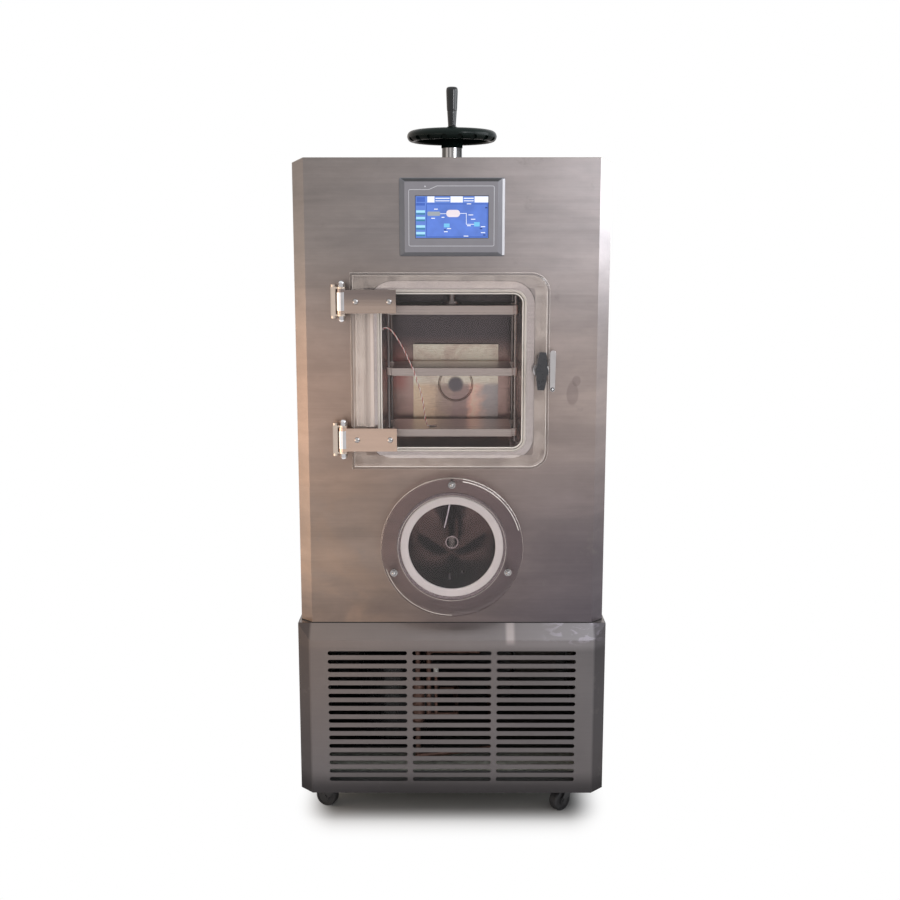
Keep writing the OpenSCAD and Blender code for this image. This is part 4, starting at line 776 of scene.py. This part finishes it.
def make_surround():
    """The panel's frame with its housing behind the front sheet and a thin printed line."""
    (x0, x1), (front, back), (z0, z1) = span_of("touch_panel_bezel")
    (sx0, sx1), (glass, glass_back), (sz0, sz1) = span_of("touch_panel_screen")
    sheet, around_glass = 0.3, (sx0 - x0, x1 - sx1, z1 - sz1, sz0 - z0)

    def row(margins, r, y):
        """A rounded rectangle inside the frame by (left, right, top, low) margins or by one."""
        left, right, top, low = margins if isinstance(margins, tuple) else (margins,) * 4
        w, h = x1 - x0 - left - right, z1 - z0 - top - low
        cx, cz = middle(x0 + left, x1 - right), middle(z0 + low, z1 - top)
        return [at(x, y, z) for x, z in round_rect(w, h, r, 5, cx, cz)]

    rows = [
        row(7, 0.6, back), row(7, 0.6, sheet), row(0, 4, sheet), row(0, 4, -1.8),
        row(0.7, 3.6, -2.8), row((1.6, 5.2, 1.4, 1.4), 3.2, -3.4),
        row((11, 13.8, 7.4, 7.4), 2.5, front + 1.0), row((11.8, 14.6, 8.2, 8.2), 2.2, front),
        row(tuple(m - 1.2 for m in around_glass), 0.6, front),
        row(around_glass, 0.4, glass + 0.4), row(around_glass, 0.4, glass_back + 0.1),
    ]
    verts, faces = skin(rows, lids=True)
    looks = ["bezel", "bezel_half_shade", "bezel_shade", "bezel_line"]
    face, edge, dark, pale = range(4)
    outer_edge, slope, down_to_glass = (3, 4), (5, 6), 8
    indices = []
    # Painted light by side: a painted highlight on the right edge, painted half shade on the left
    # and low edges, black painted shade over the top slope and down the step to the glass.
    for i in range(len(faces) - 2):
        band, k = divmod(i, len(rows[0]))
        quarter = k / len(rows[0]) * 4
        over, right = 0.4 < quarter < 1.1, quarter > 3.4 or quarter < 0.3
        if band in slope:
            indices.append(dark if over else face if right else edge)
        elif band in outer_edge:
            indices.append(pale if right else edge)
        else:
            indices.append(dark if band == down_to_glass else face)
    indices += [face, dark]
    piece("touch_panel_surround", (verts, faces), looks, "cabinet", 20,
          ["touch_panel_bezel"], indices)
    cx, cz = middle(x0, x1), middle(z0, z1)
    way = [(-92, -61), (90, -61), (90, 65), (-32, 65), (-49, 57.5), (-92, 57.5)]
    line = rounded([(cx + x, cz + z) for x, z in way], 4, 5)
    lamp_dot = solid_lathe([(0, 0.3), (1.2, 0.3), (1.5, 0), (0, 0)], 24,
                           facing(cx - 57, cz + 63.5, front))
    coloured("touch_panel_outline", [
        ("bezel_line", flat_band(line, 0.9, front - 0.25, front + 0.1)),
        ("bezel_line", lamp_dot),
    ], "cabinet")


def make_display():
    """The screen as a flow chart of plain shapes, in millimetres from its lower left corner."""
    (x0, x1), (glass, glass_back), (z0, z1) = span_of("touch_panel_screen")
    wide, tall = x1 - x0, z1 - z0
    parts = []

    def lit(look, u0, u1, v0, v1, lift=0.12):
        shape = block(x0 + u0, x0 + u1, glass - lift, glass + 0.05, z0 + v0, z0 + v1)
        parts.append(("screen_" + look, shape))

    parts.append(("screen_blue", block(x0, x1, glass, glass_back, z0, z1)))
    lit("deep", 22, wide - 1, 1, 72, 0.04)
    lit("pale", 24, wide - 3, 3, 70, 0.08)
    for u0, u1 in ((25, 40), (74, 100), (125, wide)):
        lit("white", u0, u1, 74, tall - 0.6)
    for u0, u1 in ((42, 72), (102, 123)):
        lit("white", u0, u1, 81.5, 83.5)
        lit("white", u0, u1, 76.5, 78)
    lit("deep", 2, 20, 75, 85)
    lit("deep", 1, 20, 67.5, 73)
    for v in (7.5, 21.5, 39, 52.5):
        lit("sky", 1, 20, v, v + 5)
        lit("teal", 1, 20, v - 4, v - 0.8)
    pump = round_rect(27, 9, 2.5, 4, x0 + 38.5, z0 + 50.5)
    vessel = round_rect(29, 15, 7, 8, x0 + 79.5, z0 + 51)
    parts.append(("screen_grey", prism(pump, glass - 0.14, glass)))
    parts.append(("screen_rose", prism(vessel, glass - 0.16, glass)))
    for pipe in ((52, 65, 50, 51), (94, 108, 50.6, 51.6), (107, 108, 28, 51), (107, 124, 28, 29)):
        lit("white", *pipe)
    lit("cyan", 124, 136, 24, 33)
    lit("cyan", 60, 72, 22, 30)
    for u, v, w in ((43, 60, 8), (58, 43, 6), (117, 48, 10), (122, 39, 9), (113, 25.5, 8),
                    (143, 23.5, 9), (143, 11, 9), (107, 3.8, 10), (113, 71, 9), (71, 19.5, 8),
                    (64, 13, 8), (37, 41, 8)):
        lit("white", u - w / 2, u + w / 2, v - 0.8, v + 0.8)
    for u, v in ((62.5, 17), (139, 19.5), (146, 6), (150, 63)):
        lit("navy", u - 2.5, u + 2.5, v - 1.2, v + 1.2)
    coloured("touch_panel_display", parts, "cabinet", ["touch_panel_screen"])


make_surround()
make_display()

# ---- door, its seal and the trap window ----

QUARTER = [math.radians(15 * k) for k in range(7)]


def make_door():
    """A clear pane with two round corners, a soft front edge in painted sheen, glints and a hazy
    margin.
    """
    (x0, x1), (front, back), (z0, z1) = span_of("door_plate")
    corner, soft, hazy = 40, 6, 26

    def outline(d):
        low = arc(x1 - corner, z0 + corner, corner - d, -90, 0, 12)
        top = arc(x1 - corner, z1 - corner, corner - d, 0, 90, 12)
        return [(x0 + d, z0 + d), *low, *top, (x0 + d, z1 - d)]

    steps = [(3.5, back), (2.5, back), (0.8, back - 0.7), (0, back - 2.5)]
    steps += [(soft * (1 - math.cos(a)), front + soft * (1 - math.sin(a))) for a in QUARTER]
    steps += [(soft + 0.8, front), (soft + hazy, front)]
    verts, faces = skin([[at(x, y, z) for x, z in outline(d)] for d, y in steps], lids=True)
    n = len(verts) // len(steps)
    looks = ["acrylic", "acrylic_edge_sheen", "acrylic_glint", "acrylic_haze"]
    pane, edge, glint, haze = range(4)
    # The edge bands carry painted sheen, and painted glints along the lower and right edges.
    looks_of_bands = {2: edge, 3: edge, 4: edge, 5: glint,
                      len(steps) - 3: glint, len(steps) - 2: haze}
    low_corner_end = 13
    indices = []
    for i in range(len(faces) - 2):
        band, k = divmod(i, n)
        look = looks_of_bands.get(band, pane)
        indices.append(edge if look == glint and k > low_corner_end else look)
    piece("door_pane", (verts, faces), looks, "door", 40, ["door_plate"],
          indices + [pane, pane])
    _, _, (low, high) = span_of("hinge_straps")
    bar = block(x0 + 9, x0 + 49, back + 0.2, back + 4.5, low + 52, high - 52)
    bevel(piece("door_stiffener", bar, "frosted", "door"), 1.5)


def make_gasket():
    """A moulded seal with a pale inner lip, a groove and a flat outer flange, the lip a painted
    highlight and the groove painted shade.
    """
    (x0, x1), (front, back), (z0, z1) = span_of("door_gasket")
    w, h, wide, inner_corner = x1 - x0, z1 - z0, 10, 20
    profile = [(0, back), (0, front + 1.6), (0.5, front + 0.4), (1.4, front), (2.3, front + 0.5),
               (2.9, front + 2.2), (3.8, front + 3.4), (4.6, front + 2.2), (5.3, front + 0.8),
               (7.0, front + 0.2), (9.0, front + 0.9), (wide, front + 2.6), (wide, back)]
    rows = []
    for out, y in profile:
        line = round_rect(w - 2 * (wide - out), h - 2 * (wide - out), inner_corner + out, 16,
                          middle(x0, x1), middle(z0, z1))
        rows.append([at(x, y, z) for x, z in line])
    # The lip is a painted highlight and the groove painted shade.
    lip, groove, flange = [0] * 5, [1] * 2, [2] * 6
    indices = [look for look in lip + groove + flange for _ in rows[0]]
    piece("door_seal", skin(rows, around=True), ["silicone_lip_highlight", "silicone_groove_shade", "silicone"],
          "cabinet", 50, ["door_gasket"], indices)


def make_window():
    """The trap's clear disc: a soft front edge in painted sheen with two glints, and a fine line
    inside it as a painted reflection.
    """
    (x0, x1), (front, back), (z0, z1) = span_of("trap_window")
    r, rear, face, soft, seg = middle(-z0, z1), -back, -front, 6, 160
    profile = [(0, rear), (r - 4, rear), (r - 3, rear), (r - 0.8, rear + 0.8), (r, rear + 3)]
    profile += [(r - soft * (1 - math.cos(a)), face - soft * (1 - math.sin(a)))
                for a in QUARTER]
    profile += [(r - 7, face), (119.6, face), (118.8, face), (0, face)]
    verts, faces = solid_lathe(profile, seg, facing(middle(x0, x1), middle(z0, z1)))
    looks = ["acrylic_smoke", "acrylic_edge_sheen", "acrylic_glint"]
    pane, edge, glint = range(3)
    # The fine line is a painted reflection of the seal's edge.
    edge_bands, front_of_edge, soft_end, painted_ring_reflection = range(3, 7), 5, 10, len(profile) - 3
    indices = []
    for i in range(len(faces)):
        turn, band = divmod(i, len(profile) - 1)
        angle = 360 * turn / seg
        low_left, high_right = 196 < angle < 268, 15 < angle < 80
        if band in edge_bands:
            bright = low_left or (high_right and band >= front_of_edge)
            indices.append(glint if bright else edge)
        elif band == soft_end and high_right:
            indices.append(glint)
        else:
            indices.append(edge if band == painted_ring_reflection or band == soft_end and low_left else pane)
    piece("trap_glass", (verts, faces), looks, "cabinet", 40, ["trap_window"], indices)


def make_seal():
    (x0, x1), (front, back), (z0, z1) = span_of("trap_seal_ring")
    outer, inner, face, soft = middle(-x0, x1), 96.5, -front - 0.3, 2.5
    profile = rounded([(inner, -back), (outer, -back), (outer, face, soft), (inner, face, soft)],
                      0, 5)
    ring = lathe(profile, 160, facing(middle(x0, x1), middle(z0, z1)))
    piece("trap_seal", ring, "white_seal", "cabinet", 40, ["trap_seal_ring"])


def make_sensor():
    """A thin tapered rod that hangs from the trap's top."""
    count, thick, thin = 40, 4.2, 2.0
    way, _ = spline([at(-3, 58, 743.5), at(-6, 59, 728), at(-10.5, 60, 705), at(-17, 60, 678)],
                    count)
    radii = [(thick + (thin - thick) * i / (count - 1)) * MM for i in range(count)]
    piece("trap_sensor", tube(way, radii, 20), "chrome", "cabinet", 60)


make_door()
make_gasket()
make_window()
make_seal()
make_sensor()

# ---- latch, crank and hinges ----


def make_keeper():
    """The bar that the pawl goes behind, on two posts, with a screw at its lower end."""
    (x0, x1), _, (z0, z1) = span_of("door_keeper")
    cx, half, face, rear = middle(x0, x1), middle(-x0, x1), 20, 12
    low_r, low_x, low_z, top_z = 5.4, cx - 0.4, z0 + 5.5, z1 - half
    bar = arc(cx, top_z, half, 0, 180, 15) + arc(low_x, low_z, low_r, 190, 350, 16)
    parts = [("chrome", prism(bar, -face, -rear))]
    for z in (top_z, low_z):
        post = [(0, 0), (4, 0), (4, rear), (0, rear)]
        parts.append(("chrome", solid_lathe(post, 32, facing(cx, z))))
    groove = [(2.6, face), (4.4, face), (4.4, face + 0.3), (2.6, face + 0.3)]
    head = [(0, face + 1.8), (1.2, face + 1.7), (2.4, face + 0.8), (2.6, face), (0, face)]
    parts.append(("seam_black", lathe(groove, 32, facing(low_x, low_z))))
    parts.append(("chrome", solid_lathe(head, 24, facing(low_x, low_z))))
    bevel(coloured("keeper_bar", parts, "cabinet", ["door_keeper"]), 1.2, 3, 50)


def make_grip():
    """The crank's turned grip with a fine joint line a third of the way up."""
    (x0, x1), (y0, y1), (z0, z1) = span_of("handle_grip")
    top, bore = z1 - z0, 7.3
    profile = [(0, top - 4), (bore, top - 4), (bore, 0), (7.9, 0), (8.4, 0.8), (8.6, 4),
               (10.1, 26), (10.5, 31.6), (10.2, 32.4), (10.3, 33.0), (10.9, 33.8), (11.3, 38),
               (12.4, 66), (12.7, 75), (12.3, top - 4), (11.1, top - 1.6), (9.0, top - 0.3),
               (7.0, top), (0, top)]
    grip = solid_lathe(profile, 64, upright(middle(x0, x1), middle(y0, y1), z0))
    piece("crank_grip", grip, "grip_grey", "handle", 30, ["handle_grip"])


def make_sleeves():
    """Bright sleeves round the middle of both hinge barrels."""
    (x0, _), (_, y1), _ = span_of("hinge_straps")
    axis_y, heights, half = -30, (888.5, 1186), 19.5
    r = y1 - axis_y
    profile = [(r + 0.05, -half), (r + 0.9, -half), (r + 0.9, half), (r + 0.05, half)]
    sleeves = join(*(lathe(profile, 48, upright(x0 + r, axis_y, z)) for z in heights))
    bevel(piece("hinge_sleeves", sleeves, "chrome", "door", 40), 0.25, 2)


make_keeper()
make_grip()
make_sleeves()

# ---- seam, underside and the bay behind the louvre ----


def make_seam():
    """A dark strip in the joint under the cabinet, round its front and its cut corners."""
    (x0, x1), (_, rear), (seam, _) = span_of("cabinet_front_panel")
    cut = 27

    def around_front(out, side):
        """From the left rear to the right rear, out beyond the front sheet."""
        return [(x0 - out, rear - 4), (x0 - out, cut + side), (x0 + cut + side, -out),
                (x1 - cut - side, -out), (x1 + out, cut + side), (x1 + out, rear - 4)]

    loop = around_front(0.5, 0) + around_front(-1.5, 1)[::-1]
    rows = [[at(x, y, z) for x, y in loop] for z in (seam + 0.1, seam + 2.0)]
    piece("seam_strip", skin(rows, lids=True), "seam_black", "cabinet", 30)


def make_lips():
    """Thin lips that close the gaps between the base's frame and its sheets from below."""
    (left, right), _, (floor, _) = span_of("base_front_panel")
    (frame_left, frame_right), (frame_front, frame_rear), _ = span_of("base_frame")
    left, right, gap = left + 1.8, right - 1.8, 0.4
    sides = ((left, frame_left - gap), (frame_right + gap, right))
    low, high = (floor + 0.2, floor + 1.7), (floor + 1.8, floor + 3.0)
    lips = [block(left, right, frame_rear + gap, frame_rear + 2.2, *low),
            block(left, right, 2, frame_front - gap, *high)]
    for side in sides:
        lips.append(block(*side, 32, frame_rear, *low))
        lips.append(block(*side, frame_front - gap, 33, *high))
    piece("underside_lips", join(*lips), "base_steel", "cabinet", 30)


def make_cap():
    """A white service cap on the pipes behind the louvre."""
    profile = [(0, 0), (5.4, 0), (5.4, 3), (5.9, 3.4), (5.9, 15), (5.2, 17.5), (3.2, 19), (0, 19)]
    cap = solid_lathe(profile, 32, upright(-37, 84, 311))
    piece("service_cap", cap, "drier_white", "cabinet", 40)


make_seam()
make_lips()
make_cap()

# ---- probe lead ----

LEAD_WAY = [
    (-149, 20, 1127), (-140, 20, 1128), (-129, 20, 1120), (-118, 24, 1104), (-108, 28, 1087),
    (-99, 33, 1068), (-90, 37, 1048), (-82, 40, 1029), (-76, 43, 1010), (-70, 47, 991),
    (-65, 52, 970), (-62, 58, 950), (-60, 66, 931), (-57, 76, 916), (-54, 88, 907.5),
    (-51, 100, 905.2),
]


def make_lead():
    """Two strands, red and white, twisted round each other."""
    count, strand_r, twist = 240, 0.00075, 0.016
    way, length = spline([at(*p) for p in LEAD_WAY], count)
    strands = []
    for k in range(2):
        line, side = [], None
        for i, p in enumerate(way):
            d, side = beside(way, i, side)
            a = math.pi * k + 2 * math.pi * i / (count - 1) * length / twist
            line.append(p + strand_r * (math.cos(a) * side + math.sin(a) * d.cross(side)))
        strands.append(tube(line, [strand_r] * count, 8))
    indices = [k for k, strand in enumerate(strands) for _ in strand[1]]
    lead = piece("probe_cord", join(*strands), ["lead_red", "lead_white"], "cabinet", 60,
                 ["probe_lead"], indices)


make_lead()

# ---- looks of the carried-over parts ----

CAD_LOOKS = {
    "frame_steel": "base_frame cabinet_frame",
    "brushed_steel": "cabinet_front_panel",
    "base_steel": "base_front_panel",
    "steel_side": "base_side_panels base_rear_panel cabinet_side_panels cabinet_rear_panel",
    "steel_roof": "top_cover deck_plate",
    "galvanised": "caster_plates",
    "bay_floor": "floor_plate",
    "rod_steel": "guide_rods press_spindle",
    "column_steel": "press_column",
    "knob_black": "latch_knob",
    "bezel": "touch_panel_bezel",
    "screen_blue": "touch_panel_screen",
    "chamber_steel": "chamber_vessel",
    "silicone": "door_gasket",
    "polished_steel": "vapour_duct suction_pipe",
    "baffle_steel": "vapour_baffle",
    "shelf_steel": "shelf_lower shelf_middle press_plate",
    "trap_steel": "trap_vessel",
    "flange_steel": "trap_flange",
    "copper": "evaporator_coil",
    "dark_copper": "refrigerant_pipes",
    "foam": "trap_insulation",
    "white_seal": "trap_seal_ring",
    "acrylic": "door_plate",
    "acrylic_smoke": "trap_window",
    "chrome": "hinge_pins door_keeper probe_tip latch_rose latch_pawl handle_bolt",
    "bolt_chrome": "trap_window_bolts door_screws",
    "bracket_steel": "hinge_brackets",
    "strap_steel": "hinge_straps",
    "compressor_black": "compressor",
    "fins": "condenser",
    "black_plastic": "fan_shroud fan_rotor mains_inlet",
    "black_gloss": "handwheel handle_grip",
    "caster_steel": "caster_fork_fl caster_fork_fr caster_fork_rl caster_fork_rr",
    "caster_grey": "caster_wheel_fl caster_wheel_fr caster_wheel_rl caster_wheel_rr",
}
SOFT_EDGES = {"latch_knob": 1.2, "shelf_lower": 1.0, "shelf_middle": 1.0, "press_plate": 1.0}

for look, names in CAD_LOOKS.items():
    for name in names.split():
        data = NODES[name].data
        data.materials.clear()
        data.materials.append(MATERIALS[look])

for name, width in SOFT_EDGES.items():
    bevel(NODES[name], width, weld=True)

# ---- floor, world and lamps ----


def make_floor():
    """A white floor with a soft painted shadow under the base and just in front of it."""
    half, shade, bright = 7.0, (0.30, 0.30, 0.30), (0.74, 0.73, 0.73)
    mesh = bpy.data.meshes.new("floor")
    corners = [(-half, -half, 0), (half, -half, 0), (half, half, 0), (-half, half, 0)]
    mesh.from_pydata(corners, [], [(0, 1, 2, 3)])
    s = Shader("floor", shade, 0.9, Specular_IOR_Level=0.0)
    centre = centre_of("base_frame")

    def beyond(axis, half_size):
        away = s.math("ABSOLUTE", s.gap(axis, centre["XYZ".index(axis)]))
        return s.most(s.math("SUBTRACT", away, half_size), 0.0)

    # Painted shadow: dark inside a soft rounded box round the base's footprint, white outside it.
    half_wide, half_deep, steeper_at_sides = 0.262, 0.265, 1.8
    sideways = s.times(beyond("X", half_wide), steeper_at_sides)
    away = s.distance(sideways, beyond("Y", half_deep))
    outside = s.ease(away, 0.03, 0.20)
    s.set("Base Color", s.mix(outside, shade, bright))
    rays = s.rays()
    seen = s.most(rays["Is Camera Ray"], rays["Is Transmission Ray"])
    s.overlay(s.times(outside, seen), "Emission")
    mesh.materials.append(s.mat)
    link(bpy.data.objects.new("floor", mesh))


def make_world():
    """White to the camera and through glass.

    To everything else it is a soft studio, warm at left and cool at right.
    """
    world = bpy.data.worlds.new("world")
    bpy.context.scene.world = world
    world.use_nodes = True
    world.node_tree.nodes.clear()
    t = Tree(world.node_tree)
    way = t.node("TexCoord").outputs["Generated"]
    across, back, up = (t.split(way, axis) for axis in "XYZ")
    sides = t.mix(t.ease(across, -0.7, 0.7), (0.80, 0.72, 0.66), (0.72, 0.74, 0.78))
    level = t.mix(t.ease(back, -0.95, -0.2), (0.62, 0.59, 0.58), sides)
    studio = t.mix(t.ease(up, 0.15, 0.8), level, (1.0, 1.0, 1.0))
    rays = t.rays()
    bounces = t.math("ADD", rays["Glossy Depth"], rays["Diffuse Depth"])
    through = t.times(rays["Is Transmission Ray"], t.math("LESS_THAN", bounces, 0.5))
    seen = t.most(rays["Is Camera Ray"], through)
    room = t.node("Background", {"Color": studio})
    white = t.node("Background", {"Color": (1, 1, 1)})
    surface = t.node("OutputWorld").inputs["Surface"]
    t.mix_shaders(seen, room.outputs[0], white.outputs[0], surface)


def lamp(name, place, target, size, power, color, mirrored=True):
    """A rectangular lamp in metres and watts. mirrored says whether shiny parts show it."""
    data = bpy.data.lights.new(name, "AREA")
    data.shape = "RECTANGLE"
    data.size, data.size_y = size
    data.energy = power
    data.color = color
    obj = link(bpy.data.objects.new(name, data))
    obj.location = place
    obj.rotation_euler = (Vector(target) - Vector(place)).to_track_quat("-Z", "Y").to_euler()
    obj.visible_glossy = mirrored


make_floor()
make_world()
lamp("panel_right", (1.7, -0.35, 1.85), (0.0, -0.25, 1.45), (1.3, 1.1), 14, (0.94, 0.97, 1.0))
lamp("panel_left", (-1.7, -0.7, 0.72), (-0.2, -0.2, 0.72), (1.0, 1.0), 8, (1.0, 0.78, 0.58))
lamp("glow_right", (0.85, -1.15, 1.8), (0.25, -0.32, 1.3), (0.7, 0.6), 4, (0.90, 0.94, 1.0))
lamp("glow_left", (-0.75, -1.2, 0.95), (-0.22, -0.32, 0.85), (0.5, 0.8), 1.2, (1.0, 0.84, 0.72))
lamp("strip", (1.4, -2.39, 1.95), (0.0, -0.2, 1.55), (0.22, 0.9), 5.5, (1.0, 1.0, 1.0))
lamp("fill", (0.0, -2.9, 1.5), (0.0, 0.0, 1.0), (0.9, 0.9), 7, (1.0, 0.95, 0.90), False)
lamp("overhead", (0.1, -0.6, 3.4), (0.0, 0.0, 1.0), (1.6, 1.6), 30, (1.0, 1.0, 1.0), False)
